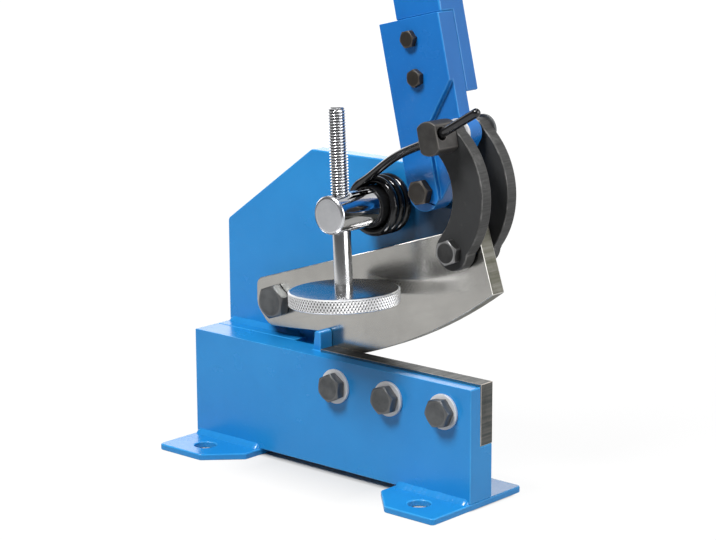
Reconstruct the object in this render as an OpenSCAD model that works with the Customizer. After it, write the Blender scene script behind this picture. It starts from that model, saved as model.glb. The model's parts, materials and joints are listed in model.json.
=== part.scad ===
// Bench lever shear: a welded block with a fixed lower blade, an upright plate, an upper blade
// that a long lever pulls down through a pair of crescent links, a return spring and a sheet clamp.
// Millimetres. The shapes are drawn from the block's lower left front corner, with X along the
// block, Y to the back and Z up, and then moved so that the origin lies on the bench, in the
// middle of the four bench bolt holes.

/* [Block] */
// Length of the block
block_l = 166; // [150:1:190]
// Height of the front plate
plate_h = 50.5; // [46:0.5:56]
// Thickness of the front plate
plate_t = 15; // [13:0.5:18]
// Thickness of the lip in front of the lower blade
lip_t = 7; // [5:0.5:8]
// Thickness of the foot plates
foot_t = 3; // [2.5:0.5:5]
// Width of a foot plate along the block
foot_w = 42; // [36:1:50]
// Reach of the foot plates in front of the block
foot_reach = 24.5; // [22:0.5:32]
// Reach of the foot plates behind the upright
foot_behind = 4.7; // [3:0.1:10]
// Size of the cut corners of a foot plate
foot_corner = 15; // [6:1:18]
// Diameter of a bench bolt hole
bench_hole_d = 10; // [7:0.5:11]
// Distance of a bench bolt hole from the block's end
bench_hole_end = 18; // [14:1:24]
// Distance of a bench bolt hole from the foot's outer edge
bench_hole_edge = 12.5; // [9:0.5:14]
// Leg of the weld beads
weld = 1.6; // [1:0.2:2.4]

/* [Upright] */
// Thickness of the upright plate
upright_t = 8; // [6:0.5:10]
// Width of the upright's foot
heel_l = 72; // [66:1:76]
// Length of the spacer between front plate and upright
spacer_l = 50; // [40:1:51]
// Height of the upright's lower edge above the block's foot line
upright_drop = 29.5; // [24:0.5:32]
// Height of the upright's top edge above the block
upright_h = 88; // [84:0.5:94]
// Height of the upright's left edge above the block
shoulder_h = 49.5; // [40:0.5:60]
// Distance from the left end to where the sloping edge meets the top edge
shoulder_l = 54; // [40:1:70]
// Radius of the ear round the lever's pivot
ear_r = 8; // [7.5:0.1:8.2]
// Reach of the arm beyond the lever's pivot
arm_reach = 8.6; // [6:0.2:8.8]

/* [Blades] */
// Length of the lower blade
lower_l = 92.2; // [86:0.2:95]
// Height of the lower blade
lower_h = 27.3; // [25:0.1:32]
// Height by which the lower blade stands above the block
lower_proud = 1.1; // [0.5:0.1:2]
// Thickness of the upper blade
blade_t = 8; // [6:0.5:9]
// Distance from the block's left end to the blade's pivot
pivot_x = 39.7; // [37:0.1:41]
// Height of the blade's pivot above the block
pivot_rise = 16.9; // [16.5:0.1:18.5]
// Slope of the raised blade
blade_lean = 17.8; // [17:0.1:19]
// Distance from the blade's pivot to its right end
blade_reach = 126.2; // [120:0.2:132]
// Distance from the blade's pivot to its top edge
blade_top = 12.2; // [11:0.1:14]
// Width of the blade at its right end
blade_end_w = 30.3; // [28:0.1:33]
// Radius of the curved cutting edge
edge_r = 255.5; // [240:0.5:280]
// Distance along the blade from its pivot to the heel of the cutting edge
edge_heel = 29; // [28:0.5:34]
// Distance from the blade's pivot to its rounded left end
tang_back = 14; // [12:0.2:16]
// Distance from the blade's pivot to the lower side of its tang
tang_down = 13.4; // [12:0.1:14.2]
// Distance from the lower blade's left end to its first bolt
bolt_start = 15.8; // [12:0.1:19]
// Distance from the block's right end to the last of them
bolt_end = 14.6; // [12:0.1:16]

/* [Lever] */
// Distance from the block's left end to the lever's pivot
lever_x = 128.8; // [127:0.1:130]
// Height of the lever's pivot above the block
lever_rise = 78.6; // [78:0.1:80]
// Backward lean of the raised lever
lever_lean = 13; // [11:0.5:15]
// Thickness of the bracket
bracket_t = 10; // [9:0.5:11]
// Depth of the step milled off for the links
mill = 2.3; // [2:0.1:2.6]
// Distance from the lever's pivot to the bracket's left edge
bracket_left = 8.7; // [8:0.1:9.2]
// Distance from the lever's pivot to the bracket's right edge
bracket_right = 25; // [24:0.1:26]
// Distance from the lever's pivot to the bracket's top edge
bracket_h = 73.6; // [68:0.1:80]
// Radius of the boss round the peg
boss_r = 6.5; // [6:0.1:7.4]
// Width of the handle bar
bar_w = 25.4; // [22:0.2:26]
// Thickness of the handle bar
bar_t = 16; // [14:0.5:18]
// Length of the handle bar above the bracket
bar_l = 225; // [180:5:300]
// Distance from the lever's pivot to the end of the bar's tongue
tongue_end = 39; // [37:0.5:42]
// Length of the grip
grip_l = 118; // [90:2:140]
// Wall of the grip
grip_wall = 2.6; // [1.5:0.1:4]

/* [Links] */
// Thickness of a link
link_t = 6.3; // [5:0.1:6.6]
// Gap between the front link and the bracket
link_gap = 1; // [0.8:0.1:1.2]
// Gap between the rear link and the bracket
link_rear_gap = 2.1; // [1.6:0.1:2.4]
// Distance from the lever's pivot to the peg, across the lever
peg_across = 23.2; // [22:0.1:24]
// Distance from the lever's pivot to the peg, along the lever
peg_along = 22; // [21:0.1:23]
// Distance along the blade from its pivot to the link bolt
link_bolt_along = 115.6; // [114:0.1:117]
// Height of the link bolt above the line through the blade's pivot
link_bolt_up = 3.8; // [2.6:0.1:4.4]
// Radius of a link's outer curve
link_outer_r = 37; // [36.4:0.1:37.6]
// Radius of a link's inner curve
link_inner_r = 23.9; // [23.2:0.1:24.6]
// Radius of a link's lower end
link_low_r = 8.4; // [7.5:0.1:9]
// Radius of a link's upper end
link_top_r = 5.4; // [5:0.1:6]
// Diameter of the peg
peg_d = 14.6; // [13:0.2:15]
// Distance between the peg's flats
peg_flats = 10.4; // [9.6:0.2:11]
// Length of the peg in front of the links
peg_l = 13.2; // [12:0.2:14.4]
// Diameter of the peg's shank
peg_shank_d = 6.6; // [6:0.2:7]

/* [Spring] */
// Diameter of the wire
wire_d = 3.8; // [3.4:0.1:4]
// Mean radius of the coil
coil_r = 11.4; // [11.2:0.1:11.8]
// Turns of the coil
turns = 3; // [2:1:3]
// Least gap between turns
turn_gap = 0.45; // [0.42:0.01:0.6]
// Length of the leg beyond the peg
leg_tail = 31; // [20:0.5:34]

/* [Clamp] */
// Diameter of the post
post_d = 16.8; // [14:0.2:17]
// Distance from the block's left end to the post
post_x = 102.8; // [100:0.1:104]
// Height of the post above the block
post_rise = 69.6; // [68:0.1:71]
// Length of the post in front of the upright
post_l = 42; // [40:0.5:45]
// Diameter of the clamp screw
screw_d = 8; // [7:0.5:9]
// Length of the clamp screw above the disc
screw_l = 79; // [70:1:96]
// Distance from the post's front to the screw
screw_in = 8; // [7:0.5:10]
// Lean of the screw and its disc
screw_lean = 2.6; // [0:0.2:4]
// Diameter of the disc
disc_d = 48.8; // [40:0.2:49]
// Thickness of the disc
disc_t = 6.4; // [5:0.2:8]
// Distance from the post's axis to the disc's top
disc_drop = 33.2; // [30:0.2:40]

/* [Hidden] */
$fn = 48;

// Length by which a cut runs past its surface
over = 1;
// Radial play of a turning or sliding fit
fit = 0.06;
// Radial play of a bolt in a plain hole
hole_play = 0.25;
// Play of flat faces that pass each other
side_play = 0.15;
// Segments of a rounded corner
corner_steps = 7;

// Threads: shank radius, width across flats and head height of each bolt size
m8_r = 4;
m8_flats = 13;
m8_head = 5.3;
pivot_flats = 14.2;
m6_r = 3;
m6_flats = 10;
m6_head = 4;
m4_r = 2;
m4_flats = 7;
m4_head = 2.8;
// Height of a nut and thickness of a washer, as shares of the shank radius
nut_share = 1.6;
washer_share = 0.36;
// Bevel of a hexagon's corners, as a share of its width across flats
bevel_share = 0.06;

// Heights and layers
block_top = foot_t + plate_h;
spacer_t = blade_t + 2 * side_play;
upright_y = plate_t + spacer_t;
upright_back = upright_y + upright_t;
blade_y = plate_t + side_play;
foot_back = upright_back + foot_behind;
upright_low = block_top - upright_drop;
arm_play = 2 * side_play;
bracket_back = upright_y - arm_play;
bracket_y = bracket_back - bracket_t;
mill_y = bracket_y + mill;
bar_y = bracket_back + bar_t / 2 - bar_t;
bar_back = bracket_back + bar_t / 2;
link_front_y = bracket_back - bracket_t + mill - link_gap - link_t - side_play;
link_rear_y = bracket_back + link_rear_gap;
link_rear_back = link_rear_y + link_t;
hole_front_y = bench_hole_edge - foot_reach;
hole_back_y = foot_back - bench_hole_edge;
bench_x = block_l / 2;
bench_y = (hole_front_y + hole_back_y) / 2;

// Pivots, as points of the XZ plane
function turn(p, a) = [p[0] * cos(a) - p[1] * sin(a), p[0] * sin(a) + p[1] * cos(a)];
blade_at = [pivot_x, block_top + pivot_rise];
lever_at = [lever_x, block_top + lever_rise];
peg_in_lever = [peg_across, peg_along];
peg_at = lever_at + turn(peg_in_lever, lever_lean);
link_bolt_in_blade = [link_bolt_along, link_bolt_up];
link_bolt_at = blade_at + turn(link_bolt_in_blade, blade_lean);
post_at = [post_x, block_top + post_rise];
peg_from_post = peg_at - post_at;
leg_slope = angle_of(peg_from_post) - asin(coil_r / norm(peg_from_post));
leave_angle = 90 + leg_slope;
straight_l = sqrt(pow(norm(peg_from_post), 2) - pow(coil_r, 2));
post_front = upright_y - post_l;
wire_r = wire_d / 2;
coil_pitch = wire_d + turn_gap;
coil_back = upright_y - wire_r - 2 * side_play;
coil_front = coil_back - turns * coil_pitch;
screw_y = post_front + screw_in;

// The drawing is moved as a whole, so that the origin lies amid the bench bolt holes
module seat() {
  translate([-bench_x, -bench_y, 0]) children();
}

// A flat outline of the XZ plane, thick from y0 to y1
module slab(y0, y1) {
  translate([0, y1, 0]) rotate([90, 0, 0]) linear_extrude(y1 - y0) children();
}

// A round rod along Y
module rod(at, y0, y1, r) {
  translate([at[0], y1, at[1]]) rotate([90, 0, 0]) cylinder(h = y1 - y0, r = r);
}

// Points of an outline whose corners are rounded: each corner is [x, z, radius]
function flat(p) = [p[0], p[1]];
function unit(v) = v / norm(v);
function angle_of(v) = atan2(v[1], v[0]);
function swing(a) = a > 180 ? a - 360 : a < -180 ? a + 360 : a;
function corner(a, b, c, r) =
  r == 0 ? [b] :
  let (u = unit(a - b), v = unit(c - b), half = acos(u * v) / 2)
  let (mid = b + unit(u + v) * r / sin(half), reach = r / tan(half))
  let (a0 = angle_of(b + u * reach - mid), a1 = angle_of(b + v * reach - mid))
  [for (i = [0:corner_steps]) mid + r * [
    cos(a0 + swing(a1 - a0) * i / corner_steps),
    sin(a0 + swing(a1 - a0) * i / corner_steps)
  ]];
function rounded(p) = [
  for (i = [0:len(p) - 1])
    each corner(flat(p[(i + len(p) - 1) % len(p)]), flat(p[i]), flat(p[(i + 1) % len(p)]), p[i][2])
];

// A hexagon with bevelled corners on one face, along Y from its seat at y0 to y0 - h
module hexagon(at, y0, h, flats, turned = 0) {
  r = flats / 2 / cos(30);
  bevel = bevel_share * flats;
  translate([at[0], y0, at[1]]) rotate([90, 0, 0]) intersection() {
    rotate([0, 0, turned]) cylinder(h = h, r = r, $fn = 6);
    union() {
      cylinder(h = h - bevel, r = r + over);
      translate([0, 0, h - bevel]) cylinder(h = bevel, r1 = r + bevel_share * r, r2 = flats / 2);
    }
  }
}

// A bolt with its head's seat at y0 and its shank reaching back to y1
module bolt(at, y0, y1, r, flats, head, turned = 0) {
  hexagon(at, y0, head, flats, turned);
  rod(at, y0 - head / 2, y1, r);
}

// A nut on a shank of radius r, from y0 back to y0 + h
module nut(at, y0, h, r, flats) {
  difference() {
    translate([0, 2 * y0 + h, 0]) mirror([0, 1, 0]) hexagon(at, y0 + h, h, flats);
    rod(at, y0 - over, y0 + h + over, r + fit);
  }
}

module washer(at, y0, h, r_in, r_out) {
  difference() {
    rod(at, y0, y0 + h, r_out);
    rod(at, y0 - over, y0 + h + over, r_in + fit);
  }
}

function nut_h(r) = nut_share * r;
function washer_h(r) = washer_share * r;
function washer_r(r) = 2 * r;

// Front plate: the lower blade lies in a rebate behind its lip, beside a small sheet stop
lower_x = block_l - lower_l;
rebate_z = block_top + lower_proud - lower_h;
stop_w = 4.8;
stop_h = 9;
stop_slant = 1.2;

module stop_outline() {
  polygon(rounded([
    [lower_x - stop_w, block_top - over, 0],
    [lower_x - stop_w + stop_slant, block_top + stop_h, stop_w / 4],
    [lower_x, block_top + stop_h, stop_w / 3],
    [lower_x, block_top - over, 0]
  ]));
}

module front_plate() {
  color("dodgerblue") seat() difference() {
    union() {
      translate([0, 0, foot_t]) cube([block_l, plate_t, plate_h]);
      slab(lip_t, plate_t) stop_outline();
    }
    translate([lower_x, lip_t, rebate_z])
      cube([lower_l + over, plate_t - lip_t + over, lower_h + over]);
    for (at = lower_bolts) rod(at, -over, lip_t + over, m8_r + hole_play);
  }
}

module heel_spacer() {
  color("dodgerblue") seat() translate([0, plate_t, upright_low])
    cube([spacer_l, spacer_t, block_top - upright_low]);
}

heel_weld_l = 46;

// Upright: a plate with a sloping shoulder, an ear for the lever and a throat behind the blades
// The throat's corners go from the end of the arm to the heel: shares of the arm's overhang, of
// the upright's height and of the throat's radius
throat_shares = [[1, 0.575, 0.25], [0.5, 0.41, 1], [0.12, 0.19, 0.6], [0, 0, 0]];
throat_r = 16;
overhang = lever_x + arm_reach - heel_l;

module upright_outline() {
  arm_top = lever_rise - ear_r + ear_r / 20;
  corner_r = ear_r / 3;
  translate([0, block_top]) {
    polygon(rounded(concat([
      [heel_l, -upright_drop, 0],
      [0, -upright_drop, 0],
      [0, shoulder_h, corner_r],
      [shoulder_l, upright_h, corner_r],
      [lever_x - 2 * ear_r, upright_h, corner_r],
      [lever_x, lever_rise + ear_r, 0],
      [lever_x, arm_top, 0],
      [lever_x + arm_reach, arm_top, corner_r / 2]
    ], [
      for (s = throat_shares) [heel_l + s[0] * overhang, s[1] * upright_h, s[2] * throat_r]
    ])));
    translate([lever_x, lever_rise]) circle(ear_r);
  }
}

module upright_plate() {
  color("dodgerblue") seat() {
    translate([weld, upright_y, block_top]) weld_bead(heel_weld_l);
    drilled_upright();
  }
}

module drilled_upright() {
  difference() {
    slab(upright_y, upright_back) upright_outline();
    rod(blade_at, upright_y - over, upright_back + over, m8_r + hole_play);
    rod(lever_at, upright_y - over, upright_back + over, m6_r + hole_play);
    rod(post_at, upright_y - over, upright_back + over, stud_r + hole_play);
  }
}

// A weld bead in the corner between a floor and a wall that faces the front, along X from the origin
module weld_bead(l) {
  rotate([90, 0, 90]) linear_extrude(l) difference() {
    translate([-weld, 0]) square(weld);
    translate([-weld, weld]) circle(weld);
  }
}

// Feet: plates with cut corners under the block's ends
foot_round = 2;

module foot() {
  translate([weld, 0, foot_t]) weld_bead(foot_w - 2 * weld);
  difference() {
    linear_extrude(foot_t) polygon(rounded([
      [0, -foot_reach, foot_round],
      [foot_w - foot_corner, -foot_reach, foot_round],
      [foot_w, -foot_reach + foot_corner, foot_round],
      [foot_w, foot_back - foot_corner, foot_round],
      [foot_w - foot_corner, foot_back, foot_round],
      [0, foot_back, foot_round]
    ]));
    for (y = [hole_front_y, hole_back_y])
      translate([bench_hole_end, y, -over]) cylinder(h = foot_t + 2 * over, d = bench_hole_d);
  }
}

module foot_left() {
  color("dodgerblue") seat() foot();
}

module foot_right() {
  color("dodgerblue") seat() translate([block_l, 0, 0]) mirror([1, 0, 0]) foot();
}

// Lower blade, held by three bolts that screw into it
bolt_rise_share = 0.527;
bolt_pitch = (lower_l - bolt_start - bolt_end) / 2;
lower_bolts = [
  for (i = [0:2]) [block_l - bolt_end - i * bolt_pitch, rebate_z + bolt_rise_share * lower_h]
];
low_flats = 11.6;
low_head = 4.4;
bolt_washer_r = 7.8;
bolt_washer_t = 1.3;

module lower_blade() {
  color("silver") seat() difference() {
    translate([lower_x, lip_t, rebate_z]) cube([lower_l, plate_t - lip_t, lower_h]);
    for (at = lower_bolts) rod(at, lip_t - over, plate_t + over, m8_r + fit);
  }
}

module lower_blade_bolts() {
  color("dimgray") seat() for (at = lower_bolts)
    bolt(at, -bolt_washer_t, plate_t - side_play, m8_r, low_flats, low_head, 12);
}

module lower_blade_washers() {
  color("gainsboro") seat() for (at = lower_bolts)
    washer(at, -bolt_washer_t, bolt_washer_t, m8_r, bolt_washer_r);
}

// Upper blade, drawn along its top edge from its pivot and then leaned: its cutting edge is an arc,
// and the link bolt has a slot, along which it wanders as the lever comes down
edge_low_share = 0.35;
edge_low = edge_low_share * blade_reach;
edge_mid = [
  edge_low,
  blade_top - blade_end_w + sqrt(pow(edge_r, 2) - pow(blade_reach - edge_low, 2))
];
edge_steps = 14;
slot_l = 6.4;
slot_turn = 13;
slot_play = 0.5;
slot_r = m6_r + slot_play;

function edge_point(a) = [a, edge_mid[1] - sqrt(pow(edge_r, 2) - pow(a - edge_mid[0], 2)), 0];

module blade_outline() {
  polygon(rounded(concat([
    [-tang_back * 0.72, blade_top, tang_back * 0.3],
    [blade_reach, blade_top, side_play]
  ], [
    for (i = [0:edge_steps]) edge_point(blade_reach + (edge_heel - blade_reach) * i / edge_steps)
  ], [
    [tang_back * 1.6, -tang_down * 1.34, tang_back * 0.3],
    [tang_back * 0.2, -tang_down, tang_back * 0.5],
    [-tang_back * 0.68, -tang_down * 0.76, tang_back * 0.5],
    [-tang_back, 0, tang_back * 0.6]
  ])));
}

module upper_blade() {
  color("silver") seat() slab(blade_y, blade_y + blade_t)
    translate(blade_at) rotate(blade_lean) difference() {
      blade_outline();
      circle(m8_r + fit);
      translate(link_bolt_in_blade) rotate(slot_turn) {
        square([slot_l, 2 * slot_r], center = true);
        for (side = [-1, 1]) translate([side * slot_l / 2, 0]) circle(slot_r);
      }
    }
}

// Pivot bolts: each is clamped to the upright by its nut, and the blade or the lever turns on it
module blade_pivot_bolt() {
  back = upright_back + washer_h(m8_r) + nut_h(m8_r) + m8_r / 3;
  color("dimgray") seat() bolt(blade_at, plate_t, back, m8_r, pivot_flats, m8_head, 21);
}

module blade_pivot_washer() {
  color("gainsboro") seat() washer(blade_at, upright_back, washer_h(m8_r), m8_r, washer_r(m8_r));
}

module blade_pivot_nut() {
  color("dimgray") seat() nut(blade_at, upright_back + washer_h(m8_r), nut_h(m8_r), m8_r, m8_flats);
}

module lever_pivot_bolt() {
  back = upright_back + washer_h(m6_r) + nut_h(m6_r) + m6_r / 3;
  color("dimgray") seat()
    bolt(lever_at, bracket_y - side_play, back, m6_r, m6_flats, m6_head, 14);
}

module lever_pivot_washer() {
  color("gainsboro") seat() washer(lever_at, upright_back, washer_h(m6_r), m6_r, washer_r(m6_r));
}

module lever_pivot_nut() {
  color("dimgray") seat() nut(lever_at, upright_back + washer_h(m6_r), nut_h(m6_r), m6_r, m6_flats);
}

// Lever bracket, drawn along the lever from its pivot: a plate with a round lower end, a boss round
// the peg, a web between the two and a step milled back where the front link swings
module leaned_lever() {
  translate(lever_at) rotate(lever_lean) children();
}

module web_outline(c0, r0, c1, r1) {
  n_angle = angle_of(c1 - c0) - acos((r0 - r1) / norm(c1 - c0));
  n = [cos(n_angle), sin(n_angle)];
  polygon([c0, c0 + r0 * n, c1 + r1 * n, c1]);
}

module bracket_outline() {
  blend = boss_r * 0.45;
  blend_at = [
    bracket_right + blend,
    peg_along + sqrt(pow(boss_r + blend, 2) - pow(bracket_right + blend - peg_across, 2))
  ];
  polygon([
    [-bracket_left, 0],
    [0, 0],
    peg_in_lever,
    [bracket_right, peg_along],
    [bracket_right, bracket_h],
    [-bracket_left, bracket_h]
  ]);
  circle(bracket_left);
  translate(peg_in_lever) circle(boss_r);
  web_outline([0, 0], bracket_left, peg_in_lever, boss_r);
  difference() {
    polygon([peg_in_lever, blend_at, [bracket_right - over, blend_at[1]]]);
    translate(blend_at) circle(blend);
  }
}

mill_slope = 1.09;

module mill_outline() {
  step_x = 0.89 * bracket_left;
  vertex = 1.18 * peg_along;
  polygon(rounded([
    [step_x, -2 * bracket_left, 0],
    [step_x, vertex, mill],
    [step_x + bracket_h, vertex + mill_slope * bracket_h, 0],
    [2 * bracket_h, vertex, 0],
    [2 * bracket_h, -2 * bracket_left, 0]
  ]));
}

screw_shares = [0.881, 0.654];
screw_across = 7.5;
screw_ats = [for (s = screw_shares) lever_at + turn([screw_across, s * bracket_h], lever_lean)];

module lever_bracket() {
  color("dodgerblue") seat() difference() {
    slab(bracket_y, bracket_back) leaned_lever() bracket_outline();
    slab(bracket_y - over, mill_y) leaned_lever() mill_outline();
    rod(lever_at, bracket_y - over, bracket_back + over, m6_r + fit);
    rod(peg_at, bracket_y - over, bracket_back + over, peg_shank_d / 2 + fit);
    for (at = screw_ats) rod(at, bracket_y - over, bracket_back + over, m4_r + fit);
  }
}

module handle_bar() {
  color("dodgerblue") seat() difference() {
    union() {
      slab(bracket_back, bar_back) leaned_lever()
        translate([bracket_right - bar_w, tongue_end]) square([bar_w, bracket_h + bar_l - tongue_end]);
      slab(bar_y, bar_back) leaned_lever()
        translate([bracket_right - bar_w, bracket_h]) square([bar_w, bar_l]);
    }
    for (at = screw_ats) rod(at, bracket_back - over, bar_back + over, m4_r + fit);
  }
}

module handle_grip() {
  top = bracket_h + bar_l + grip_wall;
  round_r = bar_t / 3;
  color("dimgray") seat() difference() {
    slab(bar_y - grip_wall, bar_back + grip_wall) leaned_lever() polygon(rounded([
      [bracket_right - bar_w - grip_wall, top - grip_l, 0],
      [bracket_right + grip_wall, top - grip_l, 0],
      [bracket_right + grip_wall, top, round_r],
      [bracket_right - bar_w - grip_wall, top, round_r]
    ]));
    slab(bar_y, bar_back) leaned_lever()
      translate([bracket_right - bar_w, bracket_h]) square([bar_w, bar_l]);
  }
}

module bracket_screws() {
  color("dimgray") seat() for (at = screw_ats)
    bolt(at, bracket_y, bar_back + nut_h(m4_r) + m4_r / 3, m4_r, m4_flats, m4_head, 10);
}

module bracket_nuts() {
  color("dimgray") seat() for (at = screw_ats) nut(at, bar_back, nut_h(m4_r), m4_r, m4_flats);
}

// Links: crescents whose curves are struck about two centres right of the lever's pivot
link_mid_z = (peg_at[1] + link_bolt_at[1]) / 2;
link_mid_shares = [-0.554, -0.056];
link_thicken = [-3, 0];
link_outer_at = [link_bolt_at[0], link_mid_z] + link_outer_r * link_mid_shares;
link_inner_at = link_outer_at + link_thicken;

module link_outline() {
  difference() {
    intersection() {
      translate(link_outer_at) circle(link_outer_r, $fn = 96);
      polygon([
        link_outer_at,
        link_bolt_at,
        link_bolt_at + [link_outer_r / 4, -link_low_r],
        [link_outer_at[0] + 2 * link_outer_r, link_bolt_at[1] - link_low_r],
        [link_outer_at[0] + 2 * link_outer_r, peg_at[1] + link_top_r],
        peg_at + [0, link_top_r],
        peg_at
      ]);
    }
    translate(link_inner_at) circle(link_inner_r, $fn = 96);
  }
  translate(link_bolt_at) circle(link_low_r);
  translate(peg_at) circle(link_top_r);
}

module link(y0) {
  slab(y0, y0 + link_t) difference() {
    link_outline();
    translate(link_bolt_at) circle(m6_r + fit);
    translate(peg_at) circle(peg_shank_d / 2 + fit);
  }
}

module link_front() {
  color("dimgray") seat() link(link_front_y);
}

module link_rear() {
  color("dimgray") seat() link(link_rear_y);
}

module link_bolt() {
  back = link_rear_back + nut_h(m6_r) + m6_r / 3;
  color("dimgray") seat() bolt(link_bolt_at, link_front_y, back, m6_r, m6_flats, m6_head, 22);
}

module link_nut() {
  color("dimgray") seat() nut(link_bolt_at, link_rear_back, nut_h(m6_r), m6_r, m6_flats);
}

module link_washers() {
  front_gap = blade_y - link_front_y - link_t;
  rear_gap = link_rear_y - blade_y - blade_t;
  thin = side_play / 2;
  color("gainsboro") seat() {
    washer(link_bolt_at, link_front_y + link_t, front_gap - thin, m6_r, washer_r(m6_r));
    washer(link_bolt_at, link_rear_y - rear_gap + thin, rear_gap - thin, m6_r, washer_r(m6_r));
    washer(peg_at, link_front_y + link_t, link_gap, peg_shank_d / 2, boss_r);
  }
}

// Anchor peg: a pin with two flats, cross-drilled for the spring's leg, that swivels with the leg
leg_share = 0.655;
clip_t = 1.2;
clip_depth = 0.6;
clip_y = link_rear_back + side_play;
leg_play = 0.75;
leg_y = link_front_y - leg_share * peg_l;
leg_dip = atan((coil_front - leg_y) / straight_l);
leg_hole_r = wire_d / 2 + leg_play;

module along_leg() {
  translate([peg_at[0], leg_y, peg_at[1]]) rotate([0, -leg_slope, 0]) rotate([0, 0, -leg_dip])
    rotate([0, 90, 0]) children();
}

module anchor_peg() {
  back = clip_y + 2 * clip_t;
  color("dimgray") seat() difference() {
    union() {
      intersection() {
        rod(peg_at, link_front_y - peg_l, link_front_y - side_play, peg_d / 2);
        slab(link_front_y - peg_l, link_front_y - side_play) translate(peg_at) rotate(lever_lean)
          square([peg_flats, peg_d + over], center = true);
      }
      rod(peg_at, link_front_y - peg_l / 4, back, peg_shank_d / 2);
    }
    along_leg() cylinder(h = 2 * peg_d, r = leg_hole_r, center = true);
    washer(peg_at, clip_y, clip_t, peg_shank_d / 2 - clip_depth, peg_d);
  }
}

module peg_clip() {
  color("dimgray") seat() washer(peg_at, clip_y, clip_t, peg_shank_d / 2 - clip_depth + fit, boss_r);
}

// Clamp post: a turned pin whose stud passes the upright
bush_play = 0.4;
stud_r = 5;
stud_flats = 17;
post_bevel = 0.6;

module screw_axis() {
  translate([post_at[0], screw_y, post_at[1]]) rotate([0, -screw_lean, 0]) children();
}

module clamp_post() {
  color("silver") seat() difference() {
    union() {
      rod(post_at, post_front + post_bevel, upright_y, post_d / 2);
      translate([post_at[0], post_front + post_bevel, post_at[1]]) rotate([90, 0, 0])
        cylinder(h = post_bevel, r1 = post_d / 2, r2 = post_d / 2 - post_bevel);
      rod(post_at, upright_y - over, upright_back + washer_h(stud_r) + nut_h(stud_r) + over, stud_r);
    }
    screw_axis() cylinder(h = 2 * post_d, r = screw_d / 2 + fit, center = true);
  }
}

module clamp_post_washer() {
  color("gainsboro") seat() washer(post_at, upright_back, washer_h(stud_r), stud_r, washer_r(stud_r));
}

module clamp_post_nut() {
  color("dimgray") seat()
    nut(post_at, upright_back + washer_h(stud_r), nut_h(stud_r), stud_r, stud_flats);
}

// Clamp screw and its knurled disc: the shank's foot sits in the disc
disc_bevel = 0.5;
foot_depth = 0.6 * disc_t;

module clamp_screw() {
  core_r = screw_d / 2;
  bevel = 0.1 * screw_d;
  color("silver") seat() screw_axis() translate([0, 0, -disc_drop - foot_depth]) {
    cylinder(h = foot_depth + screw_l - bevel, r = core_r);
    translate([0, 0, foot_depth + screw_l - bevel]) cylinder(h = bevel, r1 = core_r, r2 = core_r - bevel);
  }
}

module clamp_disc() {
  r = disc_d / 2;
  color("silver") seat() screw_axis() translate([0, 0, -disc_drop]) difference() {
    rotate_extrude($fn = 96) polygon([
      [0, 0],
      [r - disc_bevel, 0],
      [r, -disc_bevel],
      [r, disc_bevel - disc_t],
      [r - disc_bevel, -disc_t],
      [0, -disc_t]
    ]);
    translate([0, 0, -foot_depth]) cylinder(h = foot_depth + over, r = screw_d / 2 + fit);
  }
}

// Sleeve on the post that carries the spring
module spring_bush() {
  bush_r = coil_r - wire_r - bush_play;
  front = coil_front - wire_r - side_play;
  color("dimgray") seat() washer(post_at, front, upright_y - front, post_d / 2, bush_r);
}

// Torsion spring: one wire that winds round the post from the upright forwards, leaves the coil
// along its tangent and runs straight through the peg
wire_sides = 6;
loop_rings = 24;
coil_sweep = 360 * turns;
leave_at = coil_r * [cos(leave_angle), sin(leave_angle)];

function on_wire(p, y) = [post_at[0] + p[0], y, post_at[1] + p[1]];
function coil_point(i) =
  let (done = i / (turns * loop_rings), a = leave_angle + coil_sweep * (1 - done))
  on_wire(coil_r * [cos(a), sin(a)], coil_back - turns * coil_pitch * done);
function leg_point(s) =
  on_wire(leave_at + s * [cos(leg_slope), sin(leg_slope)], coil_front - s * tan(leg_dip));
wire_path = concat(
  [for (i = [0:turns * loop_rings]) coil_point(i)],
  [for (s = [coil_r / 2, straight_l, straight_l + leg_tail - wire_r]) leg_point(s)]
);

function heading(path, i) =
  unit(path[min(i + 1, len(path) - 1)] - path[max(i - 1, 0)]);
function ring(path, i, r) =
  let (t = heading(path, i), side = unit(cross(t, [0, 1, 0])), up = cross(side, t))
  [for (k = [0:wire_sides - 1]) path[i] + r * (cos(360 * k / wire_sides) * side
    + sin(360 * k / wire_sides) * up)];

module wire(path, r) {
  n = len(path);
  tip = path[n - 1] + heading(path, n - 1) * r;
  points = concat([for (i = [0:n - 1]) each ring(path, i, r)], [path[0], tip]);
  walls = [for (i = [0:n - 2], k = [0:wire_sides - 1])
    let (a = i * wire_sides + k, b = i * wire_sides + (k + 1) % wire_sides)
    each [[a, b, b + wire_sides], [a, b + wire_sides, a + wire_sides]]];
  last = (n - 1) * wire_sides;
  caps = [for (k = [0:wire_sides - 1])
    let (next = (k + 1) % wire_sides)
    each [[n * wire_sides, next, k], [n * wire_sides + 1, last + k, last + next]]];
  polyhedron(points, concat(walls, caps));
}

// Least gap between the wire and itself, measured between points at least half a turn apart
coil_gap = min([for (i = [0:len(wire_path) - 1], j = [i + loop_rings / 2:len(wire_path) - 1])
  norm(wire_path[i] - wire_path[j])]) - wire_d;
echo(least_gap_of_the_spring = coil_gap);

module torsion_spring() {
  color("dimgray") seat() wire(wire_path, wire_r);
}

front_plate();
heel_spacer();
upright_plate();
foot_left();
foot_right();
lower_blade();
lower_blade_bolts();
lower_blade_washers();
upper_blade();
blade_pivot_bolt();
blade_pivot_washer();
blade_pivot_nut();
lever_bracket();
handle_bar();
handle_grip();
bracket_screws();
bracket_nuts();
lever_pivot_bolt();
lever_pivot_washer();
lever_pivot_nut();
link_front();
link_rear();
link_bolt();
link_washers();
link_nut();
anchor_peg();
peg_clip();
clamp_post();
clamp_post_washer();
clamp_post_nut();
spring_bush();
torsion_spring();
clamp_screw();
clamp_disc();
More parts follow.
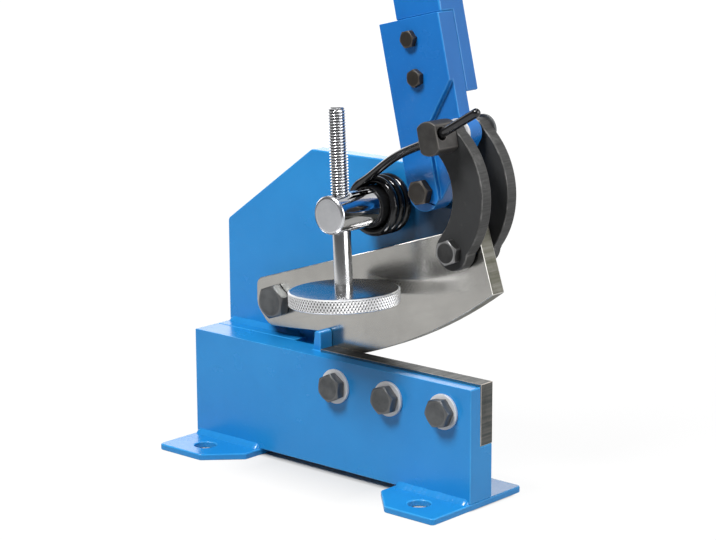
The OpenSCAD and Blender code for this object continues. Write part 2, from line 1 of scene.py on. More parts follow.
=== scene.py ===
"""Looks of a bench lever shear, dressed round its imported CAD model.

Lengths are metres in the model's frame: X along the block, Y to the back, Z up from the bench.
Shapes that repeat the drawing's own points are written in the drawing's millimetres, measured
from the block's lower left front corner, and seated with `seat`.
"""

import json
import logging
import math
from dataclasses import dataclass, replace
from enum import Enum
from typing import Callable, Mapping, Sequence, Union

import bmesh
import bpy
import numpy as np
from mathutils import Matrix, Vector

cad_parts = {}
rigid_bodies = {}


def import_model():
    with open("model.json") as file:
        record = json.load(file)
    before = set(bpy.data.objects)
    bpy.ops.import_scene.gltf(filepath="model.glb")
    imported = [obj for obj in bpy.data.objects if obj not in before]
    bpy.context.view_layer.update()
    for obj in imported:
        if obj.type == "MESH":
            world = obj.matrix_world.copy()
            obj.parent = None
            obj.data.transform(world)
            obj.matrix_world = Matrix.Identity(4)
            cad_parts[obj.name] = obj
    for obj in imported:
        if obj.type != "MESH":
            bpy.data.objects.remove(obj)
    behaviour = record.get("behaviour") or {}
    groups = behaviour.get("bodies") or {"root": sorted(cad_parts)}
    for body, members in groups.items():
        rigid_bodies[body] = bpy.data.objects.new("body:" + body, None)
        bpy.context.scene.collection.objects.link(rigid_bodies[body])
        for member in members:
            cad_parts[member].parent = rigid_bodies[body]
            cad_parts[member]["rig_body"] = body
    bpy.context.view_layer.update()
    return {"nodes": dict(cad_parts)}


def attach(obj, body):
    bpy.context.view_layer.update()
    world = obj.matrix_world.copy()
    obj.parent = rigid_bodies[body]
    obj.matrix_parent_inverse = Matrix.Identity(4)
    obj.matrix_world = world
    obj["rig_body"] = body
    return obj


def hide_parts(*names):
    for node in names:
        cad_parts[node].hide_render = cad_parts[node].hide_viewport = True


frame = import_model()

log = logging.getLogger("shear")

MM = 0.001
SEAT = np.array([83.0, 5.75, 0.0])
TAU = 2 * math.pi

Colour = tuple[float, float, float]
Number = Union[float, np.ndarray]
Settings = Mapping[str, object]


def seat(points: np.ndarray) -> np.ndarray:
    """Moves points of the drawing, in millimetres, to the model's frame, in metres."""
    return (np.asarray(points, float) - SEAT) * MM


# Shapes


@dataclass
class Shape:
    """A mesh in the making.

    Attributes:
        points: One row of X, Y and Z for each vertex.
        faces: The vertex numbers of each face, in order round it.
        wear: How worn each vertex is, up to 1, or how deep in a recess it lies, down to -1.
    """

    points: np.ndarray
    faces: list[list[int]]
    wear: np.ndarray

    def moved(self, turn: np.ndarray, shift: Sequence[float]) -> "Shape":
        """Returns the shape with its points turned by a 3 by 3 matrix and then shifted."""
        return Shape(self.points @ turn.T + np.asarray(shift, float), self.faces, self.wear)

    def seated(self) -> "Shape":
        """Returns the shape moved from the drawing's millimetres to the model's frame."""
        return Shape(seat(self.points), self.faces, self.wear)


def joined(shapes: Sequence[Shape]) -> Shape:
    """Joins several shapes into one, each keeping its own vertices.

    Args:
        shapes: The shapes, in the order in which their faces follow each other.

    Returns:
        One shape with all the faces.
    """
    starts = np.cumsum([0] + [len(s.points) for s in shapes])
    faces = [[int(start) + i for i in face] for s, start in zip(shapes, starts) for face in s.faces]
    return Shape(
        np.concatenate([s.points for s in shapes]), faces, np.concatenate([s.wear for s in shapes])
    )


def lofted(grid: np.ndarray, wear: np.ndarray | float = 0.0) -> Shape:
    """Skins a grid of points whose rows follow each other and whose columns close into rings.

    Args:
        grid: Points as rows by columns by 3. Seen along the rows, the columns go clockwise.
        wear: How worn each point is, as rows by columns or as one number.

    Returns:
        The skin, with quads between each two rings and a face over the first and the last.
    """
    rows, columns = grid.shape[:2]
    row, column = np.meshgrid(np.arange(rows - 1), np.arange(columns), indexing="ij")
    after = (column + 1) % columns
    quads = np.stack(
        [row * columns + column, row * columns + after,
         (row + 1) * columns + after, (row + 1) * columns + column], axis=-1
    ).reshape(-1, 4)
    faces = quads.tolist()
    faces.append(list(range(columns))[::-1])
    faces.append([(rows - 1) * columns + i for i in range(columns)])
    worn = np.broadcast_to(np.asarray(wear, float), (rows, columns)).reshape(-1)
    return Shape(grid.reshape(-1, 3), faces, worn.copy())


def ringed(rings: Sequence[tuple[Number, Number, Number]], steps: int) -> Shape:
    """Skins rings about the Z axis.

    A point of a ring is the ring's radius times the cosine and sine of the turn, at its height.

    Args:
        rings: The radius, height and wear of each ring from below upwards, each of the three as
            one number or as one for each point.
        steps: The number of points of a ring.

    Returns:
        The closed skin.
    """
    angle = np.arange(steps) * TAU / steps
    radius, height, worn = (
        np.stack([np.broadcast_to(ring[part], steps) for ring in rings]) for part in range(3)
    )
    grid = np.stack([radius * np.cos(angle), radius * np.sin(angle), height], axis=-1)
    return lofted(grid, worn)


def tube(path: np.ndarray, radius: np.ndarray | float, sides: int) -> Shape:
    """Carries a circle along a path.

    At each point the circle stands square to the path's heading. Its first direction is the
    heading crossed with Y, and its second is square to both.

    Args:
        path: The points of the centreline.
        radius: The circle's radius, or one for each point.
        sides: The number of points round the circle.

    Returns:
        The closed tube.
    """
    heading = np.gradient(path, axis=0)
    heading /= np.linalg.norm(heading, axis=1)[:, None]
    side = np.cross(heading, [0.0, 1.0, 0.0])
    side /= np.linalg.norm(side, axis=1)[:, None]
    up = np.cross(side, heading)
    angle = np.arange(sides) * TAU / sides
    size = np.broadcast_to(np.asarray(radius, float), len(path))[:, None, None]
    grid = path[:, None] + size * (
        np.cos(angle)[None, :, None] * side[:, None] + np.sin(angle)[None, :, None] * up[:, None]
    )
    return lofted(grid[:, ::-1])


class Facing(Enum):
    """The way in which a turned shape's Z axis points once it is in place."""

    FRONT = ((1, 0, 0), (0, 0, -1), (0, 1, 0))
    BACK = ((1, 0, 0), (0, 0, 1), (0, -1, 0))

    def matrix(self) -> np.ndarray:
        """Returns the 3 by 3 matrix that turns Z to this way."""
        return np.array(self.value, float)


def leaned(degrees: float) -> np.ndarray:
    """Returns the matrix that turns about Y, so that Z leans towards negative X."""
    c, s = math.cos(math.radians(degrees)), math.sin(math.radians(degrees))
    return np.array([[c, 0, -s], [0, 1, 0], [s, 0, c]])


def ripple(length: int, seed: int, smooth: int) -> np.ndarray:
    """Returns an even random wave of the given number of points, between about -1 and 1.

    Args:
        length: The number of points.
        seed: The seed of the random draws.
        smooth: The number of points over which neighbours are averaged.

    Returns:
        The wave.
    """
    draws = np.random.default_rng(seed).normal(size=length + 2 * smooth)
    kernel = np.hanning(smooth + 2)[1:-1]
    wave = np.convolve(draws, kernel / np.sqrt((kernel**2).sum()), mode="same")
    return np.clip(wave[smooth:smooth + length] / 2, -1, 1)


def hex_head(apothem: float, height: float, turn: float, dished: float = 0.04) -> Shape:
    """Models a bolt's hexagonal head on Z, with its seat at height 0.

    The outline's radius is the apothem divided by a smooth maximum of the cosines towards the
    six flats, which rounds the corners. The rim of the top falls away by the distance beyond the
    chamfer's circle times the tangent of its angle.

    Args:
        apothem: Half the width across flats.
        height: The height of the head.
        turn: The turn of the head about its axis, in degrees.
        dished: The depth of the forged dish in the top, as a share of the height.

    Returns:
        The head, worn along its rim and corners.
    """
    steps, hardness = 96, 60
    circle, slope = 0.93 * apothem, 0.55
    angle = np.arange(steps) * TAU / steps
    towards = np.cos(angle[:, None] - np.arange(6) * TAU / 6 - math.radians(turn + 30)).clip(0, 1)
    outline = apothem / (towards**hardness).sum(1) ** (1 / hardness)
    corner = (outline / apothem - 1) / (1 / math.cos(math.pi / 6) - 1)
    rim = height - (outline - circle) * slope
    outward = 0.75 * (outline - circle)
    sunk = height * (1 - dished)
    downwards = [
        (0.25 * apothem, sunk, 0.0),
        (0.62 * apothem, sunk, 0.0),
        (0.80 * apothem, height * (1 - dished / 4), 0.1),
        (0.86 * apothem, height, 0.6),
        (circle, height, 1.0),
        (circle + outward, height - outward * slope, 0.5 + 0.3 * corner),
        (outline * 0.995, rim, 0.8 + 0.2 * corner),
        (outline, rim - 0.04 * height, 0.7 + 0.3 * corner),
        (outline, rim - 0.14 * height, 0.7 * corner),
        (outline, 0.5 * height, 0.55 * corner),
        (outline, 0.12 * height, 0.6 * corner),
        (outline * 0.985, 0.03 * height, 0.3 + 0.3 * corner),
        (0.95 * apothem, 0.0, 0.0),
    ]
    return ringed(downwards[::-1], steps)


def threaded(radius: float, pitch: float, length: float, depth: float, start: float = 0.0) -> Shape:
    """Models a threaded rod on Z that starts at height 0.

    The radius is the rod's less the depth times a rounded triangle wave of the height over the
    pitch less the turn, so that the wave climbs one pitch in each turn. It fades into the plain
    rod below the start and runs out at the top's bevel.

    Args:
        radius: The radius over the crests.
        pitch: The pitch.
        length: The length of the rod.
        depth: The depth of the thread.
        start: The height at which the thread begins.

    Returns:
        The closed rod, worn on its crests and recessed in its grooves, which a bright finish
        darkens as painted shade.
    """
    sides, steps = 40, 9
    level = np.concatenate([[0.0], np.arange(start, length - 1e-9, pitch / steps), [length]])
    angle = np.arange(sides) * TAU / sides
    phase = level[:, None] / pitch - angle[None, :] / TAU
    wave = 1 - np.abs(2 * (phase % 1) - 1)
    wave = np.clip(1.35 * wave - 0.15, 0, 1)
    fade = np.clip((level - start) / pitch, 0, 1)[:, None]
    bevel = np.clip(1 - (length - level) / (0.75 * pitch), 0, 1)[:, None] * depth * 1.2
    reach = radius - depth * wave * fade - bevel
    return ringed(list(zip(reach, level, fade * (0.55 - 1.4 * wave))), sides)


# Pieces


@dataclass(frozen=True)
class Finish:
    """What dresses a piece: its materials, in the order of the piece's slots.

    Attributes:
        name: Name of its first material. The others' names start with it.
        slot: Name of a slot for the piece. Not used.
        colour: Its main colour.
    """

    name: str
    slot: str
    colour: Colour

    def materials(self) -> list[bpy.types.Material]:
        """Returns the materials: the faces, the edges of plates and then the bevels."""
        raise NotImplementedError


def placed(
    name: str, mesh: bpy.types.Mesh, finish: Finish, body: str, nodes: Sequence[str], sharp: float
) -> bpy.types.Object:
    """Puts a mesh into the scene as a piece that rides on a body.

    Args:
        name: The piece's name.
        mesh: Its mesh, already in place.
        finish: Its finish.
        body: The body that it rides on.
        nodes: The CAD nodes that it stands for.
        sharp: The angle, in degrees, beyond which an edge is shaded sharp.

    Returns:
        The piece.
    """
    for material in finish.materials():
        mesh.materials.append(material)
    mesh.shade_smooth()
    mesh.set_sharp_from_angle(angle=math.radians(sharp))
    piece = bpy.data.objects.new(name, mesh)
    bpy.context.scene.collection.objects.link(piece)
    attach(piece, body)
    if nodes:
        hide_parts(*nodes)
    log.info("%s: %d faces, rides on %s", name, len(mesh.polygons), body)
    return piece


def modelled(
    name: str, shape: Shape, finish: Finish, body: str, nodes: Sequence[str] = (), sharp: float = 32
) -> None:
    """Makes a piece of a shape that is in metres and in place.

    Args:
        name: The piece's name.
        shape: The shape.
        finish: Its finish.
        body: The body that it rides on.
        nodes: The CAD nodes that it stands for.
        sharp: The angle, in degrees, beyond which an edge is shaded sharp.
    """
    mesh = bpy.data.meshes.new(name)
    mesh.from_pydata(shape.points.tolist(), [], shape.faces)
    mesh.attributes.new("wear", "FLOAT", "POINT").data.foreach_set(
        "value", shape.wear.astype(np.float32)
    )
    mesh.update()
    placed(name, mesh, finish, body, nodes, sharp)


def mark_round(mesh: bpy.types.Mesh) -> None:
    """Marks the edges that a bevel rounds: those between faces that turn by over 30 degrees.

    Knife edges stay as they are, and so do the edges of small faces that run out in a point, such
    as the ends of a weld.

    Args:
        mesh: The mesh. It gets an edge attribute, 1 where the edge is rounded and 0 elsewhere.
    """
    least_turn, knife = math.radians(30), -0.9
    pointed_angle, pointed_area, pointed_corners = math.radians(25), 4e-6, 6
    faces, corners, edges = len(mesh.polygons), len(mesh.loops), len(mesh.edges)
    places, normals = np.zeros(len(mesh.vertices) * 3), np.zeros(faces * 3)
    area, start, total = np.zeros(faces), np.zeros(faces, int), np.zeros(faces, int)
    point, edge = np.zeros(corners, int), np.zeros(corners, int)
    for source, name, values in (
        (mesh.vertices, "co", places),
        (mesh.polygons, "normal", normals), (mesh.polygons, "area", area),
        (mesh.polygons, "loop_start", start), (mesh.polygons, "loop_total", total),
        (mesh.loops, "vertex_index", point), (mesh.loops, "edge_index", edge),
    ):
        source.foreach_get(name, values)
    places, normals = places.reshape(-1, 3), normals.reshape(-1, 3)
    owner = np.repeat(np.arange(faces), total)
    within = np.arange(corners) - start[owner]
    after, before = (
        places[point[start[owner] + (within + step) % total[owner]]] - places[point]
        for step in (1, -1)
    )
    opening = (after * before).sum(1)
    opening /= np.linalg.norm(after, axis=1) * np.linalg.norm(before, axis=1)
    pointed = np.zeros(faces, bool)
    pointed[owner[opening > math.cos(pointed_angle)]] = True
    pointed &= (area < pointed_area) & (total >= pointed_corners)
    first, last = np.full(edges, faces), np.full(edges, -1)
    np.minimum.at(first, edge, owner)
    np.maximum.at(last, edge, owner)
    bend = (normals[first] * normals[last]).sum(1)
    rounded = (bend < math.cos(least_turn)) & (bend > knife)
    rounded[edge[pointed[owner]]] = False
    marks = mesh.attributes.new("bevel_weight_edge", "FLOAT", "EDGE")
    marks.data.foreach_set("value", rounded.astype(np.float32))


def bevelled(node: str, look: str, finish: Finish, width: float, segments: int = 2) -> None:
    """Makes a piece of a CAD node's own solid, with its edges rounded by a live bevel.

    The node's loose triangles are merged and its flat faces made whole. Faces that look to the
    front or back take the first material, the others the second, and the bevels the last.

    Args:
        node: The CAD node.
        look: The word that follows the node's name in the piece's name.
        finish: Its finish.
        width: The width of the bevels, in metres.
        segments: The number of faces across a bevel.
    """
    name = f"{node}_{look}"
    merged, flat, facing = 2e-6, math.radians(0.4), 0.7
    source = frame["nodes"][node]
    grown = bmesh.new()
    grown.from_mesh(source.data)
    bmesh.ops.remove_doubles(grown, verts=grown.verts, dist=merged)
    bmesh.ops.dissolve_limit(grown, angle_limit=flat, verts=grown.verts, edges=grown.edges)
    mesh = bpy.data.meshes.new(name)
    grown.to_mesh(mesh)
    grown.free()
    for layer in [a.name for a in mesh.attributes if a.name == "custom_normal"]:
        mesh.attributes.remove(mesh.attributes[layer])
    mesh.materials.clear()
    normals = np.zeros(len(mesh.polygons) * 3, np.float32)
    mesh.polygons.foreach_get("normal", normals)
    aside = np.abs(normals.reshape(-1, 3)[:, 1]) < facing
    mesh.polygons.foreach_set("material_index", aside.astype(np.int32))
    mark_round(mesh)
    piece = placed(name, mesh, finish, str(source["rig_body"]), [node], 30)
    bevel = piece.modifiers.new("rounded_edges", "BEVEL")
    bevel.width = width
    bevel.segments = segments
    bevel.limit_method = "WEIGHT"
    bevel.use_clamp_overlap = False
    bevel.harden_normals = True
    bevel.material = 2


# Shader graphs


def operator(operation: str, swapped: bool = False) -> Callable[["Signal", "Term"], "Signal"]:
    """Returns an operator of signals that adds a Math node, with its two terms swapped if asked."""

    def apply(self: "Signal", other: "Term") -> "Signal":
        """Returns the Math node's signal."""
        return self.graph.math(operation, *((other, self) if swapped else (self, other)))

    return apply


class Signal:
    """A shader socket on which Python's operators add Math nodes."""

    __add__, __radd__ = operator("ADD"), operator("ADD", swapped=True)
    __sub__, __rsub__ = operator("SUBTRACT"), operator("SUBTRACT", swapped=True)
    __mul__, __rmul__ = operator("MULTIPLY"), operator("MULTIPLY", swapped=True)

    def __init__(self, graph: "Graph", socket: bpy.types.NodeSocket) -> None:
        """Wraps a graph's output socket."""
        self.graph = graph
        self.socket = socket

    def math(self, operation: str, *terms: "Term") -> "Signal":
        """Returns a Math node of the operation on this signal and the other terms."""
        return self.graph.math(operation, self, *terms)

    def above(self, low: float, high: float) -> "Signal":
        """Returns 0 below low, 1 above high and a straight ramp between them."""
        return self.graph.node(
            "ShaderNodeMapRange", {"clamp": True},
            {"Value": self, "From Min": low, "From Max": high, "To Min": 0.0, "To Max": 1.0},
        )


Term = Union[Signal, float, int]


class Graph:
    """A material's nodes, or the world's."""

    def __init__(self, owner: bpy.types.Material | bpy.types.World) -> None:
        """Starts an empty graph on a material or world."""
        self.owner = owner
        owner.use_nodes = True
        self.tree = owner.node_tree
        self.tree.nodes.clear()

    def node(
        self, kind: str, settings: Settings | None = None,
        values: Mapping[str | int, object] | None = None, out: str | int = 0,
    ) -> Signal:
        """Adds one node.

        Args:
            kind: Blender's name of the node type.
            settings: The node's own settings, which are set first.
            values: The values or signals of its input sockets, by name or number.
            out: The output socket that is wanted.

        Returns:
            The signal of that output.
        """
        made = self.tree.nodes.new(kind)
        for key, value in (settings or {}).items():
            setattr(made, key, value)
        for key, value in (values or {}).items():
            socket = made.inputs[key]
            if isinstance(value, Signal):
                self.tree.links.new(value.socket, socket)
            elif socket.type == "RGBA" and len(value) == 3:
                socket.default_value = (*value, 1.0)
            else:
                socket.default_value = value
        return Signal(self, made.outputs[out])

    def math(self, operation: str, *terms: Term) -> Signal:
        """Adds a Math node of the operation on the terms."""
        return self.node("ShaderNodeMath", {"operation": operation}, dict(enumerate(terms)))

    def blend(self, share: Term, first: object, second: object) -> Signal:
        """Mixes two colours: the first where the share is 0 and the second where it is 1."""
        return self.node(
            "ShaderNodeMix", {"data_type": "RGBA", "clamp_factor": True},
            {0: share, 6: first, 7: second}, out=2,
        )

    def vector(
        self, operation: str, at: Signal, other: Sequence[float] = (0, 0, 0), out: str | int = 0
    ) -> Signal:
        """Adds a Vector Math node of the operation on a place and three numbers."""
        return self.node(
            "ShaderNodeVectorMath", {"operation": operation}, {0: at, 1: tuple(other)}, out
        )

    def ray(self, kind: str) -> Signal:
        """Returns 1 for rays of a kind, such as Camera, and 0 for others."""
        return self.node("ShaderNodeLightPath", out=f"Is {kind} Ray")

    def wear(self) -> Signal:
        """Returns how worn the mesh is, which is 0 where it doesn't say."""
        return self.node("ShaderNodeAttribute", {"attribute_name": "wear"}, out="Fac")

    def place(
        self, scale: Sequence[float] = (1, 1, 1), turn: float = 0.0,
        centre: Sequence[float] = (0, 0, 0),
    ) -> Signal:
        """Returns Object coordinates about a centre, turned about Y in degrees and scaled."""
        about = self.vector("SUBTRACT", self.node("ShaderNodeTexCoord", out="Object"), centre)
        spun = self.node(
            "ShaderNodeMapping", {"vector_type": "POINT"},
            {"Vector": about, "Rotation": (0.0, math.radians(turn), 0.0)},
        )
        return self.vector("MULTIPLY", spun, scale)

    def noise(self, at: Signal, scale: float, detail: float = 3.0, rough: float = 0.5) -> Signal:
        """Returns a noise texture's value."""
        return self.node(
            "ShaderNodeTexNoise", {"noise_dimensions": "3D"},
            {"Vector": at, "Scale": scale, "Detail": detail, "Roughness": rough},
        )

    def bump(self, height: Signal, depth: float, strength: float = 1.0) -> Signal:
        """Returns a normal that a height from 0 to 1 raises by the depth, in metres."""
        return self.node(
            "ShaderNodeBump", {}, {"Strength": strength, "Distance": depth, "Height": height},
            out="Normal",
        )

    def axis(self, at: Signal, which: int) -> Signal:
        """Returns one coordinate of a place."""
        return self.node("ShaderNodeSeparateXYZ", {}, {0: at}, out=which)

    def surface(self, **sockets: object) -> bpy.types.Material:
        """Ends the graph in a Principled surface with these sockets and returns the material."""
        names = {name.replace("_", " "): value for name, value in sockets.items()}
        shader = self.node("ShaderNodeBsdfPrincipled", {}, names, out="BSDF")
        self.node_out("ShaderNodeOutputMaterial", shader)
        return self.owner

    def node_out(self, kind: str, shader: Signal) -> None:
        """Joins a shader to a new output node."""
        end = self.tree.nodes.new(kind)
        self.tree.links.new(shader.socket, end.inputs["Surface"])


def new_graph(name: str) -> Graph:
    """Returns the graph of a new material."""
    return Graph(bpy.data.materials.new(name))


def toned(colour: Colour, share: float) -> Colour:
    """Returns a colour with each of its parts multiplied by a share."""
    return tuple(share * part for part in colour)


# Finishes


# Near-black of the painted shade round the lever's pivot on the upright.
PAINTED_SHADE_DARK = (0.014, 0.015, 0.018)
# Near-black of the painted shade in recesses of bright metal.
RECESS_SHADE = (0.03, 0.03, 0.032)


@dataclass(frozen=True)
class Paint(Finish):
    """Glossy machine paint, laid thick, a little lighter on rounded edges, partly as thinner paint
    and partly as a painted highlight.

    Attributes:
        deep: Its colour where it is laid thicker.
        edge: Its lighter colour on rounded edges, partly thinner paint and partly a painted
            highlight. It also colours the dust nibs.
        oiled: The middle of a patch of painted shade, where the paint darkens to near-black under
            the lever. By default it lies far under the floor.
    """

    deep: Colour
    edge: Colour
    oiled: Sequence[float] = (0.0, 0.0, -1.0)

    def coat(self, name: str, colour: Colour, deep: Colour) -> bpy.types.Material:
        """Returns one shade of the paint."""
        found = bpy.data.materials.get(name)
        if found:
            return found
        g = new_graph(name)
        at = g.place()
        cloud = g.noise(at, 26.0, 3.0).above(0.3, 0.7)
        peel = g.noise(at, 420.0, 2.0)
        sag = g.noise(g.place((1, 1, 0.35)), 130.0, 2.0)
        nib = g.noise(at, 900.0, 1.0).above(0.70, 0.78)
        grime = g.noise(at, 75.0, 5.0, 0.65).above(0.56, 0.75)
        base = g.blend(cloud, deep, colour)
        base = g.blend(grime * 0.12, base, (deep[0] * 0.6, deep[1] * 0.6, deep[2] * 0.65))
        base = g.blend(nib * 0.25, base, self.edge)
        # Painted shade: the paint darkens to near-black round a point under the lever, where shade
        # falls.
        away = g.vector("DISTANCE", at, self.oiled, "Value") + 0.01 * cloud
        base = g.blend(away.above(0.030, 0.018) * 0.86, base, PAINTED_SHADE_DARK)
        return g.surface(
            Base_Color=base, Roughness=0.17 + 0.16 * g.noise(at, 60.0, 4.0), IOR=1.48,
            Normal=g.bump(peel * 0.45 + sag * 0.5 + nib * 0.35, 0.00009),
        )

    def materials(self) -> list[bpy.types.Material]:
        """Returns the paint of the faces, of the edges and of the bevels, whose lighter coat is
        partly a painted highlight.
        """
        face = self.coat(self.name, self.colour, self.deep)
        # The bevels take a lighter coat: partly thinner paint, partly a painted highlight along the
        # edges.
        thin_paint_and_highlight_coat = self.coat(self.name + "_edge", self.edge, self.colour)
        return [face, face, thin_paint_and_highlight_coat]


@dataclass(frozen=True)
class Ground(Finish):
    """Surface-ground tool steel: fine scratches along the blade, and darker sawn edges.

    Attributes:
        stain: Its colour where it is stained.
        sawn: Its colour on sawn edges.
        grain_turn: Turn of the scratches about Y, in degrees.
    """

    stain: Colour
    sawn: Colour
    grain_turn: float = 0.0

    def face(self) -> bpy.types.Material:
        """Returns the ground face."""
        g = new_graph(self.name)
        at = g.place()
        fine = g.noise(g.place((40, 900, 2600), self.grain_turn), 1.0, 2.0)
        coarse = g.noise(g.place((9, 120, 420), self.grain_turn), 1.0, 3.0)
        cloud = g.noise(at, 38.0, 4.0, 0.6).above(0.35, 0.7)
        spot = g.noise(at, 160.0, 3.0, 0.5).above(0.66, 0.85)
        base = g.blend(cloud * 0.55, self.colour, self.stain)
        base = g.blend(spot * 0.15, base, self.sawn)
        base = g.blend(coarse.above(0.45, 0.75) * 0.18, base, self.stain)
        return g.surface(
            Base_Color=base, Metallic=1.0, Roughness=0.16 + 0.05 * fine + 0.06 * cloud,
            Normal=g.bump(fine * 0.7 + coarse * 0.3, 0.000008),
        )

    def edge(self) -> bpy.types.Material:
        """Returns the sawn edge, with marks across the plate."""
        g = new_graph(self.name + "_sawn")
        at = g.place()
        marks = g.noise(g.place((700, 20, 700)), 1.0, 3.0)
        cloud = g.noise(at, 160.0, 4.0, 0.65)
        base = g.blend(marks.above(0.35, 0.7) * 0.35, self.sawn, self.stain)
        base = g.blend(cloud.above(0.5, 0.75) * 0.5, base, toned(self.sawn, 0.45))
        return g.surface(
            Base_Color=base, Metallic=0.9, Roughness=0.42 + 0.2 * cloud,
            Normal=g.bump(marks * 0.6 + cloud * 0.4, 0.00014),
        )

    def bright(self) -> bpy.types.Material:
        """Returns the bright line along a ground edge."""
        g = new_graph(self.name + "_bevel")
        worn = g.noise(g.place(), 240.0, 3.0)
        base = g.blend(worn.above(0.4, 0.7), self.colour, toned(self.colour, 1.5))
        return g.surface(Base_Color=base, Metallic=1.0, Roughness=0.26 + 0.2 * worn)

    def materials(self) -> list[bpy.types.Material]:
        """Returns the ground face, the sawn edge and the bright bevel."""
        return [self.face(), self.edge(), self.bright()]


@dataclass(frozen=True)
class Scale(Finish):
    """Hot-rolled plate: dull scale on its faces and drag lines on its flame-cut edges.

    Attributes:
        cut: Its colour on flame-cut edges.
        glint: Its colour where an edge is rubbed bare.
    """

    cut: Colour
    glint: Colour

    def face(self) -> bpy.types.Material:
        """Returns the scaled face."""
        g = new_graph(self.name)
        at = g.place()
        cloud = g.noise(at, 45.0, 5.0, 0.6)
        grit = g.noise(at, 1500.0, 3.0, 0.7)
        rub = g.noise(at, 320.0, 4.0, 0.7).above(0.62, 0.74)
        base = g.blend(cloud.above(0.35, 0.7), self.colour, toned(self.colour, 0.72))
        base = g.blend(rub * 0.35, base, self.cut)
        return g.surface(
            Base_Color=base, Metallic=0.25, Roughness=0.52 + 0.18 * cloud,
            Specular_IOR_Level=0.45, Normal=g.bump(grit * 0.5 + cloud * 0.5, 0.00011),
        )

    def edge(self) -> bpy.types.Material:
        """Returns the flame-cut edge: lines across the plate's thickness."""
        g = new_graph(self.name + "_cut")
        at = g.place()
        lines = g.noise(g.place((1300, 55, 1300)), 1.0, 2.0, 0.6)
        cloud = g.noise(at, 130.0, 4.0, 0.65)
        base = g.blend(lines.above(0.3, 0.72), self.cut, toned(self.cut, 0.55))
        base = g.blend(cloud.above(0.55, 0.75) * 0.6, base, self.glint)
        base = g.blend(cloud.above(0.45, 0.25) * 0.4, base, self.colour)
        return g.surface(
            Base_Color=base, Metallic=0.55, Roughness=0.4 + 0.22 * cloud,
            Normal=g.bump(lines * 0.8 + cloud * 0.4, 0.00022),
        )

    def bright(self) -> bpy.types.Material:
        """Returns the worn corner of the plate."""
        g = new_graph(self.name + "_corner")
        worn = g.noise(g.place(), 260.0, 3.0)
        base = g.blend(worn.above(0.42, 0.66), self.cut, self.glint)
        return g.surface(Base_Color=base, Metallic=0.7, Roughness=0.34 + 0.2 * worn)

    def materials(self) -> list[bpy.types.Material]:
        """Returns the scaled face, the cut edge and the worn corner."""
        return [self.face(), self.edge(), self.bright()]


@dataclass(frozen=True)
class Blackened(Finish):
    """Oil-blackened bolts and wire, rubbed bare where the piece is worn.

    Attributes:
        rubbed: Its colour where it is rubbed bare.
        roughness: Its least roughness.
        metallic: How metallic it is.
        wear: How much of the worn places is bare.
        spread: How far the roughness varies.
        ior: Its index of refraction.
    """

    rubbed: Colour
    roughness: float
    metallic: float = 0.6
    wear: float = 0.8
    spread: float = 0.2
    ior: float = 1.5

    def skin(self, name: str, lifted: float) -> bpy.types.Material:
        """Returns the black skin, with some wear added all over."""
        g = new_graph(name)
        at = g.place()
        cloud = g.noise(at, 150.0, 4.0, 0.6)
        grit = g.noise(at, 1100.0, 3.0, 0.65)
        worn = g.wear()
        bare = ((worn + lifted) * (0.55 + cloud) * self.wear).above(0.25, 0.95)
        base = g.blend(cloud.above(0.35, 0.7), self.colour, toned(self.colour, 0.6))
        base = g.blend(bare, base, self.rubbed)
        return g.surface(
            Base_Color=base, Metallic=self.metallic, Roughness=self.roughness + self.spread * cloud,
            IOR=self.ior, Normal=g.bump(grit * 0.5 + cloud * 0.5, 0.00035 * self.spread),
        )

    def materials(self) -> list[bpy.types.Material]:
        """Returns the skin of faces and edges, and a more worn one for bevels."""
        found = [bpy.data.materials.get(self.name), bpy.data.materials.get(self.name + "_rim")]
        if None in found:
            found = [self.skin(self.name, 0.0), self.skin(self.name + "_rim", 0.7)]
        return [found[0], found[0], found[1]]


@dataclass(frozen=True)
class Bright(Finish):
    """Polished, plated or zinced metal, with turning marks round an axis if it has one, and painted
    shade in its recesses.

    Attributes:
        roughness: Its least roughness.
        marks: Strength of the turning marks.
        centre: A point of their axis, in the model's frame.
        spread: How far the roughness varies.
        metallic: How metallic it is.
        satin: Roughness added outside recesses.
    """

    roughness: float
    marks: float = 0.0
    centre: Sequence[float] = (0.0, 0.0, 0.0)
    spread: float = 0.1
    metallic: float = 1.0
    satin: float = 0.0

    def skin(self, name: str, roughness: float, marks: float) -> bpy.types.Material:
        """Returns the metal at a roughness, with turning marks of a strength."""
        g = new_graph(name)
        at = g.place((1, 0, 1), 0.0, self.centre)
        cloud = g.noise(g.place(), 120.0, 4.0, 0.6)
        haze = g.noise(g.place(), 900.0, 3.0, 0.6)
        reach = g.vector("LENGTH", at, out="Value")
        rings = (reach * 2400.0 + cloud * 1.5).math("SINE") * 0.5 + 0.5
        worn = g.wear()
        base = g.blend(cloud.above(0.4, 0.75) * 0.35, self.colour, toned(self.colour, 0.72))
        # Painted shade: recesses such as thread grooves and knurl pits darken to near-black.
        base = g.blend((worn * -1.0).above(-0.1, 0.9) * 0.88, base, RECESS_SHADE)
        return g.surface(
            Base_Color=base, Metallic=self.metallic,
            Roughness=roughness + self.spread * cloud + self.satin * worn.above(-0.3, 0.0),
            Normal=g.bump(rings * marks + haze * 0.25, 0.00003, 0.6),
        )

    def materials(self) -> list[bpy.types.Material]:
        """Returns the faced end, the turned side and the bright bevel."""
        found = [bpy.data.materials.get(self.name + part) for part in ("", "_side", "_rim")]
        if None in found:
            found = [
                self.skin(self.name, self.roughness + (0.16 if self.marks else 0.0), self.marks),
                self.skin(self.name + "_side", self.roughness, 0.0),
                self.skin(self.name + "_rim", self.roughness + 0.2, 0.0),
            ]
        return found


